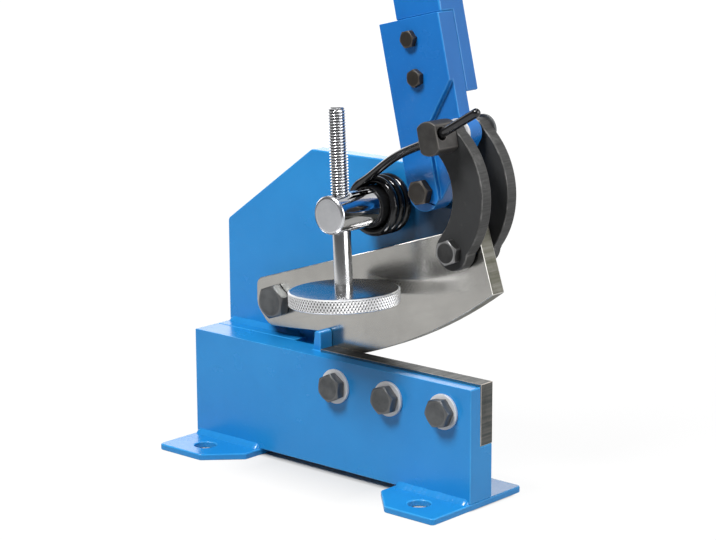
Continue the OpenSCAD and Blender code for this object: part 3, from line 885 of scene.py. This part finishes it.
@dataclass(frozen=True)
class Rubber(Finish):
    """Moulded black grip rubber with a fine leather-like skin."""

    def materials(self) -> list[bpy.types.Material]:
        """Returns the one rubber."""
        g = new_graph(self.name)
        at = g.place()
        cells = g.node(
            "ShaderNodeTexVoronoi", {"feature": "SMOOTH_F1"}, {"Vector": at, "Scale": 900.0}
        )
        cloud = g.noise(at, 60.0, 4.0)
        base = g.blend(cloud.above(0.35, 0.75), self.colour, toned(self.colour, 1.7))
        bump = g.bump(cells, 0.00018, 0.7)
        return [g.surface(Base_Color=base, Roughness=0.55 + 0.2 * cloud, Normal=bump)] * 3


FRAME_PAINT = Paint(
    "frame_enamel", "frame_paint", colour=(0.016, 0.238, 0.580),
    deep=(0.010, 0.205, 0.530), edge=(0.04, 0.33, 0.70),
)
# The upright's paint carries painted shade under the lever, right of the spring.
SHADED_UPRIGHT_PAINT = replace(FRAME_PAINT, name="upright_enamel", oiled=(0.0470, 0.01755, 0.1120))
LEVER_PAINT = Paint(
    "lever_enamel", "lever_paint", colour=(0.009, 0.150, 0.470),
    deep=(0.006, 0.124, 0.415), edge=(0.03, 0.25, 0.60),
)
UPPER_STEEL = Ground(
    "upper_blade_ground", "blade_steel", colour=(0.54, 0.53, 0.50),
    stain=(0.42, 0.41, 0.39), sawn=(0.12, 0.118, 0.09), grain_turn=17.8,
)
LOWER_STEEL = Ground(
    "lower_blade_ground", "blade_steel", colour=(0.46, 0.42, 0.38),
    stain=(0.33, 0.30, 0.27), sawn=(0.060, 0.068, 0.068),
)
LINK_STEEL = Scale(
    "link_scale", "link_steel", colour=(0.033, 0.034, 0.035),
    cut=(0.072, 0.072, 0.071), glint=(0.165, 0.163, 0.16),
)
BLACK_BOLT = Blackened(
    "bolt_black", "black_bolt", colour=(0.140, 0.146, 0.150), rubbed=(0.26, 0.26, 0.26),
    roughness=0.30, metallic=0.75, wear=0.5,
)
DARK_BOLT = Blackened(
    "bolt_browned", "black_bolt", colour=(0.036, 0.031, 0.026), rubbed=(0.13, 0.115, 0.10),
    roughness=0.34, metallic=0.5, wear=0.6,
)
LINK_BOLT = Blackened(
    "bolt_rubbed", "black_bolt", colour=(0.062, 0.062, 0.062), rubbed=(0.42, 0.42, 0.42),
    roughness=0.26, metallic=0.7, wear=0.75,
)
PEG_BLACK = Blackened(
    "peg_black", "black_bolt", colour=(0.068, 0.065, 0.062), rubbed=(0.16, 0.15, 0.14),
    roughness=0.42,
)
SPRING_BLACK = Blackened(
    "spring_black", "spring_steel", colour=(0.008, 0.008, 0.009), rubbed=(0.05, 0.045, 0.04),
    roughness=0.09, metallic=0.1, wear=0.4, spread=0.08, ior=1.62,
)
BUSH_BLACK = Blackened(
    "bush_black", "black_bolt", colour=(0.012, 0.012, 0.013), rubbed=(0.05, 0.05, 0.05),
    roughness=0.30, metallic=0.1, wear=0.3,
)
ZINC = Bright(
    "washer_zinc", "zinc", colour=(0.74, 0.75, 0.77), roughness=0.32, spread=0.16, metallic=0.25
)
RUBBER = Rubber("grip_moulded", "grip_rubber", colour=(0.022, 0.022, 0.023))


# Sub-assemblies


@dataclass
class Block:
    """The welded block: front plate, spacer, upright and feet, with their beads.

    Attributes:
        length: Length of the block, in the drawing's millimetres, as the lengths below.
        top: Height of the block's top.
        foot: Thickness of a foot.
        foot_width: Width of a foot along the block.
        upright: Distance from the block's front to the upright.
        bevel: Width of the rounded edges, in metres.
    """

    length: float = 166.0
    top: float = 53.5
    foot: float = 3.0
    foot_width: float = 42.0
    upright: float = 23.3
    bevel: float = 0.0006

    def bead(self, start: Sequence[float], end: Sequence[float], size: float, seed: int) -> Shape:
        """Lays a weld bead in the corner between a floor and a wall that faces the front.

        A point of the bead lies at an angle from the floor to the wall, at the bead's size times
        a chord that bulges in the middle. The size swells in low ripples along the bead and
        wanders with a random wave, and both ends close in a rounded toe.

        Args:
            start: The corner's first end, in the drawing's millimetres.
            end: Its other end.
            size: The leg of the bead.
            seed: The seed of the wandering.

        Returns:
            The bead, in the model's frame.
        """
        rows, columns, ripple_length = 140, 14, 2.6
        along = np.linspace(0, 1, rows)
        length = np.linalg.norm(np.subtract(end, start))
        toe_share = 2.2 * size / length
        into_toe = 2 * np.clip(np.abs(along - 0.5) - 0.5 + toe_share / 2, 0, 1) / toe_share
        toe = np.sqrt(np.clip(1 - into_toe**2, 0.003, 1))
        waves = 0.025 * np.abs(np.sin(along * length / ripple_length * math.pi))
        waves = waves + 0.06 * ripple(rows, seed, 34)
        reach = size * (0.94 + waves) * toe
        angle = np.linspace(0, math.pi / 2, columns - 2)
        lift = 1 / (np.cos(angle) + np.sin(angle)) ** 0.75
        path = np.asarray(start, float) + along[:, None] * np.subtract(end, start)
        ring_y = -np.concatenate([np.cos(angle) * lift, [-0.25, -0.25]])
        ring_z = np.concatenate([np.sin(angle) * lift, [0.8, -0.25]])
        low = 1 + 0.05 * ripple(rows, seed + 7, 30)
        grid = np.stack(
            [np.repeat(path[:, :1], columns, 1),
             path[:, 1:2] + np.outer(reach * low, ring_y),
             path[:, 2:] + np.outer(reach, ring_z)], axis=-1
        )
        return lofted(seat(grid))

    def build(self) -> None:
        """Builds the block and its beads."""
        for node in ("front_plate", "heel_spacer", "upright_plate", "foot_left", "foot_right"):
            # The upright takes the paint with painted shade under the lever.
            paint = SHADED_UPRIGHT_PAINT if node == "upright_plate" else FRAME_PAINT
            bevelled(node, "painted", paint, self.bevel, 3)
        right, heel_run, sunk = self.length - self.foot_width, 47.0, 0.1
        for name, first, last, wall, height, size, seed in (
            ("weld_foot_left", 0.4, self.foot_width - 0.6, 0.0, self.foot, 2.6, 3),
            ("weld_foot_right", right + 0.6, self.length - 0.5, 0.0, self.foot, 2.4, 12),
            ("weld_heel", 0.4, heel_run, self.upright, self.top, 2.4, 21),
        ):
            corner = (wall + sunk, height)
            bead = self.bead((first, *corner), (last, *corner), size, seed)
            modelled(name, bead, FRAME_PAINT, "frame", sharp=60)


@dataclass
class Fastener:
    """A bolt whose head faces the front.

    Attributes:
        at: X and Z of its axis, in the drawing's millimetres.
        seat_y: Y of the head's seat.
        end_y: Y of the shank's end.
        radius: Radius of the shank.
        flats: Width across flats.
        height: Height of the head.
        turn: Turn of the head, in degrees.
    """

    at: tuple[float, float]
    seat_y: float
    end_y: float
    radius: float
    flats: float
    height: float
    turn: float = 0.0

    def shape(self) -> Shape:
        """Returns the bolt, with a thread at the shank's end."""
        length = self.end_y - self.seat_y
        head = hex_head(self.flats / 2, self.height, self.turn)
        shank = threaded(self.radius, 0.3 * self.radius, length, 0.12 * self.radius, 0.6 * length)
        place = (self.at[0], self.seat_y, self.at[1])
        parts = [head.moved(Facing.FRONT.matrix(), place), shank.moved(Facing.BACK.matrix(), place)]
        return joined(parts).seated()


@dataclass
class Blades:
    """The fixed lower blade and the curved upper blade, with the bolts that hold them.

    Attributes:
        pivot: X and Z of the upper blade's pivot, in the drawing's millimetres.
        bolts_x: X of the lower blade's bolts.
        bolts_z: Z of the lower blade's bolts.
    """

    pivot: tuple[float, float] = (39.7, 70.4)
    bolts_x: tuple[float, float, float] = (151.4, 120.5, 89.6)
    bolts_z: float = 41.69

    def build(self) -> None:
        """Builds both blades and their bolts."""
        bevelled("upper_blade", "ground", UPPER_STEEL, 0.00035)
        bevelled("lower_blade", "ground", LOWER_STEEL, 0.0003)
        turns = (9.0, 16.0, 27.0)
        bolts = joined([
            Fastener((x, self.bolts_z), seat_y=-1.3, end_y=14.85, radius=4.0, flats=11.6,
                     height=4.4, turn=turn).shape()
            for x, turn in zip(self.bolts_x, turns)
        ])
        modelled("lower_blade_bolts_black", bolts, BLACK_BOLT, "frame", ["lower_blade_bolts"])
        bevelled("lower_blade_washers", "zinc", ZINC, 0.0002)
        pivot = Fastener(self.pivot, seat_y=15.0, end_y=40.47, radius=4.0, flats=14.2,
                         height=5.3, turn=21.0)
        modelled("blade_pivot_bolt_black", pivot.shape(), BLACK_BOLT, "frame", ["blade_pivot_bolt"])
        bevelled("blade_pivot_washer", "zinc", ZINC, 0.0002)
        bevelled("blade_pivot_nut", "black", BLACK_BOLT, 0.0002)


@dataclass
class Lever:
    """The lever: bracket, handle bar and grip, with their fasteners.

    Attributes:
        pivot: X and Z of the lever's pivot, in the drawing's millimetres.
        lean: Backward lean of the raised lever, in degrees.
        right: Distance from the pivot to the bar's right edge, across the lever.
        width: Width of the bar.
        bar_front: Y of the bar's front.
        bar_back: Y of its back.
        top: Distance from the pivot to the bar's end, along the lever.
        grip: Length of the grip.
        wall: Wall of the grip.
    """

    pivot: tuple[float, float] = (128.8, 132.1)
    lean: float = 13.0
    right: float = 25.0
    width: float = 25.4
    bar_front: float = 15.0
    bar_back: float = 31.0
    top: float = 298.6
    grip: float = 118.0
    wall: float = 2.6

    def across(self, across: float, along: float) -> tuple[float, float]:
        """Returns X and Z of a point given across and along the lever."""
        c, s = math.cos(math.radians(self.lean)), math.sin(math.radians(self.lean))
        return (self.pivot[0] + across * c - along * s, self.pivot[1] + across * s + along * c)

    def grip_shape(self) -> Shape:
        """Models the grip.

        A ring of the grip is a rounded rectangle: each half size times a signed power of the
        cosine or sine. The half sizes swell along the grip in shallow finger ribs and in a collar
        near each end, and close in a dome at the top.

        Returns:
            The grip, in the model's frame.
        """
        rows, columns, rib_count, power = 150, 56, 15, 0.42
        done = np.linspace(0, 1, rows)
        ribbed = (done > 0.12) & (done < 0.86)
        ribs = 0.35 * np.clip(np.sin(done * TAU * rib_count), -0.2, 1) * ribbed
        collar = 0.5 * np.exp(-((done - 0.035) / 0.022) ** 2)
        collar = collar + 0.3 * np.exp(-((done - 0.92) / 0.03) ** 2)
        dome = np.sqrt(np.clip(1 - np.clip((done - 0.965) / 0.035, 0, 1) ** 2, 0.02, 1))
        swell = self.wall - 0.7 + ribs + collar
        half_w = (self.width / 2 + swell) * (0.75 + 0.25 * dome)
        half_t = ((self.bar_back - self.bar_front) / 2 + swell) * (0.7 + 0.3 * dome)
        angle = np.arange(columns) * TAU / columns
        c = np.sign(np.cos(angle)) * np.abs(np.cos(angle)) ** power
        s = np.sign(np.sin(angle)) * np.abs(np.sin(angle)) ** power
        along = self.top - self.grip + self.wall + done * self.grip
        middle = (self.right - self.width / 2, (self.bar_front + self.bar_back) / 2)
        grid = np.stack(
            [middle[0] + np.outer(half_w, c), middle[1] + np.outer(half_t, s),
             np.repeat(along[:, None], columns, 1)], axis=-1
        )
        place = (self.pivot[0], 0.0, self.pivot[1])
        return lofted(grid).moved(leaned(self.lean), place).seated()

    def build(self) -> None:
        """Builds the lever."""
        bevelled("lever_bracket", "painted", LEVER_PAINT, 0.0005, 3)
        bevelled("handle_bar", "painted", LEVER_PAINT, 0.0008, 3)
        modelled("handle_grip_rubber", self.grip_shape(), RUBBER, "lever", ["handle_grip"], 50)
        aside, places, turns = 7.5, (64.8416, 48.1344), (14.0, 31.0)
        screws = joined([
            Fastener(self.across(aside, along), seat_y=13.0, end_y=34.87, radius=2.0, flats=7.0,
                     height=2.8, turn=turn).shape()
            for along, turn in zip(places, turns)
        ])
        modelled("bracket_screws_black", screws, DARK_BOLT, "lever", ["bracket_screws"])
        bevelled("bracket_nuts", "black", BLACK_BOLT, 0.00012)
        pivot = Fastener(self.pivot, seat_y=12.85, end_y=38.18, radius=3.0, flats=10.0,
                         height=4.0, turn=14.0)
        modelled("lever_pivot_bolt_black", pivot.shape(), DARK_BOLT, "frame", ["lever_pivot_bolt"])
        bevelled("lever_pivot_washer", "zinc", ZINC, 0.00015)
        bevelled("lever_pivot_nut", "black", BLACK_BOLT, 0.00015)


@dataclass
class Links:
    """The two crescent links between lever and blade, with their bolt.

    Attributes:
        bolt: X and Z of the link bolt, in the drawing's millimetres.
        front: Y of the front link's face.
        back: Y of the rear link's back.
    """

    bolt: tuple[float, float] = (148.605, 109.356)
    front: float = 7.85
    back: float = 31.4

    def build(self) -> None:
        """Builds the links and their fasteners."""
        for node in ("link_front", "link_rear"):
            bevelled(node, "scaled", LINK_STEEL, 0.0005)
        past = 5.8
        bolt = Fastener(self.bolt, seat_y=self.front, end_y=self.back + past, radius=3.0,
                        flats=10.0, height=4.0, turn=22.0)
        modelled("link_bolt_black", bolt.shape(), LINK_BOLT, "links", ["link_bolt"])
        bevelled("link_washers", "zinc", ZINC, 0.0001)
        bevelled("link_nut", "black", BLACK_BOLT, 0.00015)


@dataclass
class ReturnSpring:
    """The torsion spring round the post, and the peg that its leg passes.

    Attributes:
        post: X and Z of the post's axis, in the drawing's millimetres.
        peg: X and Z of the peg's axis.
        radius: Radius of the wire.
        coil: Mean radius of the coil.
        turns: Turns of the coil.
        back: Y of the coil's first turn.
        pitch: Distance between turns.
        leg_y: Y of the leg at the peg.
        tail: Length of the leg beyond the peg.
        bow: Rise of the leg's middle, where it is bent a little.
    """

    post: tuple[float, float] = (102.8, 123.1)
    peg: tuple[float, float] = (146.456, 158.755)
    radius: float = 1.9
    coil: float = 11.4
    turns: int = 3
    back: float = 21.1
    pitch: float = 4.25
    leg_y: float = -0.796
    tail: float = 31.0
    bow: float = 1.8

    def path(self) -> np.ndarray:
        """Lays out the wire's centreline.

        The leg's slope is that of the line from the post to the peg less the angle whose sine is
        the coil's radius over that line's length, so that the leg is the coil's tangent. On the
        coil a point is the coil's radius at an angle that falls to a right angle above the slope,
        by a full turn for each turn, while Y falls by the pitch. The leg runs on from there and
        dips forwards evenly to the peg's cross hole. Square to it, it rises by the bow times the
        squared sine of half a turn between the coil and the hole.

        Returns:
            Its points from the coil's rear end to the leg's, in the drawing's millimetres.
        """
        turn_steps, leg_steps = 72, 70
        peg = np.subtract(self.peg, self.post)
        apart = float(np.linalg.norm(peg))
        slope = math.atan2(peg[1], peg[0]) - math.asin(self.coil / apart)
        straight = math.sqrt(apart**2 - self.coil**2)
        front = self.back - self.turns * self.pitch
        done = np.linspace(0, 1, self.turns * turn_steps + 1)
        angle = slope + math.pi / 2 + TAU * self.turns * (1 - done)
        coil = np.stack([self.coil * np.cos(angle), self.back - self.turns * self.pitch * done,
                         self.coil * np.sin(angle)], axis=1)
        run = np.linspace(0, straight + self.tail - self.radius, leg_steps)[1:]
        dip = run * (front - self.leg_y) / straight
        rise = self.bow * np.sin(math.pi * np.clip(run / straight, 0, 1)) ** 2
        leg = np.stack([coil[-1, 0] + run * math.cos(slope) - rise * math.sin(slope), front - dip,
                        coil[-1, 2] + run * math.sin(slope) + rise * math.cos(slope)], axis=1)
        return np.concatenate([coil, leg]) + [self.post[0], 0.0, self.post[1]]

    def wire(self) -> Shape:
        """Returns the wire as a tube with rounded ends."""
        path = self.path()
        heading = path[-1] - path[-2]
        heading /= np.linalg.norm(heading)
        swing = np.linspace(0, math.pi / 2, 9)[1:-1]
        tip = path[-1] + np.outer(self.radius * np.sin(swing), heading)
        whole = np.concatenate([path, tip])
        size = np.concatenate([np.full(len(path), self.radius), self.radius * np.cos(swing)])
        return tube(whole, size, sides=20).seated()

    def build(self) -> None:
        """Builds the spring and the peg."""
        modelled("return_spring_wire", self.wire(), SPRING_BLACK, "spring", ["torsion_spring"], 60)
        bevelled("anchor_peg", "black", PEG_BLACK, 0.0005, 3)
        bevelled("peg_clip", "black", BLACK_BOLT, 0.0001)
        bevelled("spring_bush", "black", BUSH_BLACK, 0.0002)


@dataclass
class Clamp:
    """The sheet clamp: post, screw and knurled disc.

    Attributes:
        post: X and Z of the post's axis, in the drawing's millimetres.
        screw_y: Y of the screw's axis.
        lean: Lean of the screw, in degrees.
        screw_r: Radius of the screw.
        drop: Distance from the post's axis to the disc's top.
        length: Length of the screw above the disc.
        disc_r: Radius of the disc.
        disc_t: Thickness of the disc.
    """

    post: tuple[float, float] = (102.8, 123.1)
    screw_y: float = -10.7
    lean: float = 2.6
    screw_r: float = 4.0
    drop: float = 33.2
    length: float = 79.0
    disc_r: float = 24.4
    disc_t: float = 6.4

    def on_axis(self, shape: Shape, along: float) -> Shape:
        """Stands a shape on the screw's axis, at a distance above the post's axis."""
        turn = leaned(self.lean)
        shift = np.array([self.post[0], self.screw_y, self.post[1]]) + turn @ [0.0, 0.0, along]
        return shape.moved(turn, shift).seated()

    def screw(self) -> Shape:
        """Returns the screw: a smooth shank that carries a thread above the post."""
        foot, above = 0.6 * self.disc_t, 2.0
        rod = threaded(self.screw_r, pitch=1.25, length=foot + self.length, depth=0.62,
                       start=foot + self.drop + above)
        return self.on_axis(rod, -self.drop - foot)

    def disc(self) -> Shape:
        """Models the knurled disc.

        Between its bevels, the rim's radius rises by the smaller of two triangle waves, one of
        the turn plus the height and one of the turn less the height, which leaves a field of
        small pyramids. It is marked as a recess, and so gets the darkest painted shade, where both
        waves are low.

        Returns:
            The disc, in the model's frame.
        """
        count, rows_of, rise = 102, 2, 0.40
        columns = count * 6
        band_from, band = 0.75, self.disc_t - 1.5
        angle = np.arange(columns) * TAU / columns
        level = np.linspace(0, 1, rows_of * 8 + 1)
        u = count * angle[None, :] / TAU
        v = rows_of * level[:, None]
        waves = [1 - np.abs(2 * ((u + sign * v) % 1) - 1) for sign in (1, -1)]
        knurl = self.disc_r - rise + rise * np.minimum(*waves)
        # Pits are marked as recesses, where a bright finish paints shade.
        wear = np.clip(1 - 4.0 * (1 - waves[0]) * (1 - waves[1]), -0.9, 1)
        edge = [
            (0.18 * self.disc_r, 0.0, -0.4), (self.disc_r - 1.0, 0.0, -0.4),
            (self.disc_r - 0.55, 0.12, 0.0), (self.disc_r - 0.05, 0.55, 0.0),
            (self.disc_r - 0.3, 0.72, 0.0),
        ]
        lower = [(radius, height - self.disc_t, worn) for radius, height, worn in edge]
        middle = list(zip(knurl, -self.disc_t + band_from + band * level, wear))
        upper = [(radius, -height, worn) for radius, height, worn in edge[::-1]]
        return self.on_axis(ringed(lower + middle + upper, columns), -self.drop)

    def build(self) -> None:
        """Builds the clamp."""
        centre = tuple(seat([self.post[0], 0.0, self.post[1]]))
        post = Bright("post_chrome", "chrome", colour=(0.86, 0.87, 0.90), roughness=0.06,
                      marks=0.12, centre=centre, spread=0.05)
        screw = Bright("screw_chrome", "chrome", colour=(0.90, 0.91, 0.93), roughness=0.14,
                       centre=centre, spread=0.12)
        disc = Bright("disc_chrome", "chrome", colour=(0.90, 0.90, 0.91), roughness=0.20,
                      centre=centre, satin=0.25)
        bevelled("clamp_post", "turned", post, 0.0008, 3)
        bevelled("clamp_post_washer", "zinc", ZINC, 0.0002)
        bevelled("clamp_post_nut", "black", BLACK_BOLT, 0.0003)
        modelled("clamp_screw_threaded", self.screw(), screw, "clamp", ["clamp_screw"], 40)
        modelled("clamp_disc_knurled", self.disc(), disc, "clamp", ["clamp_disc"], 28)


# Studio


@dataclass
class Studio:
    """The camera, the pale floor and the soft light.

    Attributes:
        eye: The camera's place.
        azimuth: Its azimuth, in degrees. At 0 it looks along Y.
        pitch: How far it looks down, in degrees.
        roll: Its roll, in degrees.
        lens: Its focal length for a sensor 36 mm wide.
        floor_mirror: How bright the floor is in reflections.
        fill: How bright the world is to matt surfaces.
    """

    eye: tuple[float, float, float] = (0.6283, -0.68735, 0.2974)
    azimuth: float = 41.752
    pitch: float = 12.41
    roll: float = -0.259
    lens: float = 108.25
    floor_mirror: float = 0.72
    fill: float = 0.14

    def camera(self) -> None:
        """Makes the camera at the photograph's place."""
        az, down, roll = (math.radians(v) for v in (self.azimuth, self.pitch, self.roll))
        level = Vector((-math.sin(az), math.cos(az), 0.0))
        ahead = level * math.cos(down) - Vector((0.0, 0.0, math.sin(down)))
        right = Vector((math.cos(az), math.sin(az), 0.0))
        up = right.cross(ahead)
        across = right * math.cos(roll) + up * math.sin(roll)
        above = up * math.cos(roll) - right * math.sin(roll)
        data = bpy.data.cameras.new("camera")
        data.lens, data.sensor_width = self.lens, 36.0
        data.clip_start, data.clip_end = 0.01, 50.0
        eye = bpy.data.objects.new("camera", data)
        turn = Matrix((across, above, -ahead)).transposed().to_4x4()
        eye.matrix_world = Matrix.Translation(self.eye) @ turn
        bpy.context.scene.collection.objects.link(eye)
        bpy.context.scene.camera = eye

    def lamp(
        self, name: str, place: Sequence[float], size: tuple[float, float], power: float
    ) -> None:
        """Hangs a soft light of a width and height that faces the object."""
        data = bpy.data.lights.new(name, "AREA")
        data.shape, data.energy = "RECTANGLE", power
        data.size, data.size_y = size
        lamp = bpy.data.objects.new(name, data)
        lamp.location = place
        middle = Vector((0.0, 0.0, 0.08))
        lamp.rotation_euler = (middle - Vector(place)).to_track_quat("-Z", "Y").to_euler()
        bpy.context.scene.collection.objects.link(lamp)

    def world(self) -> None:
        """Lights the world evenly, and shows it white to the camera.

        In reflections it is dim, apart from a white backdrop that stands behind the object.
        """
        made = bpy.data.worlds.new("studio")
        bpy.context.scene.world = made
        g = Graph(made)
        seen, gloss, clear = (g.ray(kind) for kind in ("Camera", "Glossy", "Transmission"))
        towards = g.node("ShaderNodeTexCoord", out="Generated")
        overhead = g.axis(towards, 2).above(0.55, 0.85)
        backdrop = g.axis(towards, 1).above(-0.1, 0.35) * (1.0 - overhead)
        dim = 0.1
        mirror = dim + (1 - dim) * backdrop
        plain = g.math("MAXIMUM", seen, clear)
        level = plain + (1 - plain) * (gloss * mirror + (1 - gloss) * self.fill)
        light = g.node("ShaderNodeBackground", {}, {"Color": (1.0, 1.0, 1.0), "Strength": level})
        g.node_out("ShaderNodeOutputWorld", light)

    def floor(self) -> None:
        """Lays the white floor, which keeps the object's shadow.

        The floor glows to the camera, less in reflections, and least in those of its part far in
        front. It is left matt, and so dark, in the gap under the block and in the feet's holes,
        and glows less in the shade in front of the block, between the feet.
        """
        mesh = bpy.data.meshes.new("floor")
        half = 6.0
        corners = [(-half, -half, 0), (half, -half, 0), (half, half, 0), (-half, half, 0)]
        mesh.from_pydata(corners, [], [[0, 1, 2, 3]])
        g = new_graph("floor_white")
        seen, gloss, clear = (g.ray(kind) for kind in ("Camera", "Glossy", "Transmission"))
        plain = g.math("MAXIMUM", seen, clear)
        long, deep, middle, block_front = 0.084, 0.0165, 0.0095, -0.00575
        hole_x, hole_y = 0.065, 0.01775
        at = g.place()
        aside, back = g.axis(at, 0).math("ABSOLUTE"), g.axis(at, 1)
        gap = (aside * -1.0).above(-long, 0.0025 - long)
        gap = gap * ((back - middle).math("ABSOLUTE") * -1.0).above(-deep, 0.003 - deep)
        across, along = aside - hole_x, back.math("ABSOLUTE") - hole_y
        bored = (across * across + along * along).above(0.00006, 0.00004)
        ahead = (back - block_front) * -1.0
        shade = aside.above(0.056, 0.03) * ahead.above(0.034, 0.0) * ahead.above(-0.006, 0.0)
        far = g.vector("LENGTH", at, out="Value").above(0.4, 1.6)
        share = g.math("MAXIMUM", plain, gloss) * (1.0 - gap) * (1.0 - bored)
        share = share * (0.84 + 0.12 * far - 0.36 * shade)
        mirror = self.floor_mirror - 0.6 * (back * -1.0).above(0.3, 0.85)
        level = (plain + gloss * mirror) * 1.12
        matt = g.node("ShaderNodeBsdfDiffuse", {}, {"Color": (0.4, 0.4, 0.4)})
        glow = g.node("ShaderNodeEmission", {}, {"Color": (1.0, 1.0, 1.0), "Strength": level})
        both = g.node("ShaderNodeMixShader", {}, {0: share, 1: matt, 2: glow})
        g.node_out("ShaderNodeOutputMaterial", both)
        mesh.materials.append(g.owner)
        floor = bpy.data.objects.new("floor", mesh)
        bpy.context.scene.collection.objects.link(floor)

    def build(self) -> None:
        """Builds the studio."""
        scene = bpy.context.scene
        scene.view_settings.view_transform = "Standard"
        self.camera()
        self.world()
        self.floor()
        self.lamp("softbox_key", place=(-0.08, -0.80, 1.12), size=(0.42, 0.42), power=21.5)
        self.lamp("softbox_top", place=(0.15, 0.1, 1.5), size=(0.25, 0.25), power=3.0)
        self.lamp("softbox_right", place=(1.35, 0.15, 0.6), size=(1.2, 1.0), power=14.0)
        self.lamp("softbox_back", place=(-1.0, 1.1, 0.45), size=(2.4, 0.9), power=8.0)


def main() -> None:
    """Builds the studio and the shear."""
    logging.basicConfig(level=logging.INFO, format="%(message)s")
    for part in (Studio(), Block(), Blades(), Lever(), Links(), ReturnSpring(), Clamp()):
        part.build()


if __name__ == "__main__":
    main()
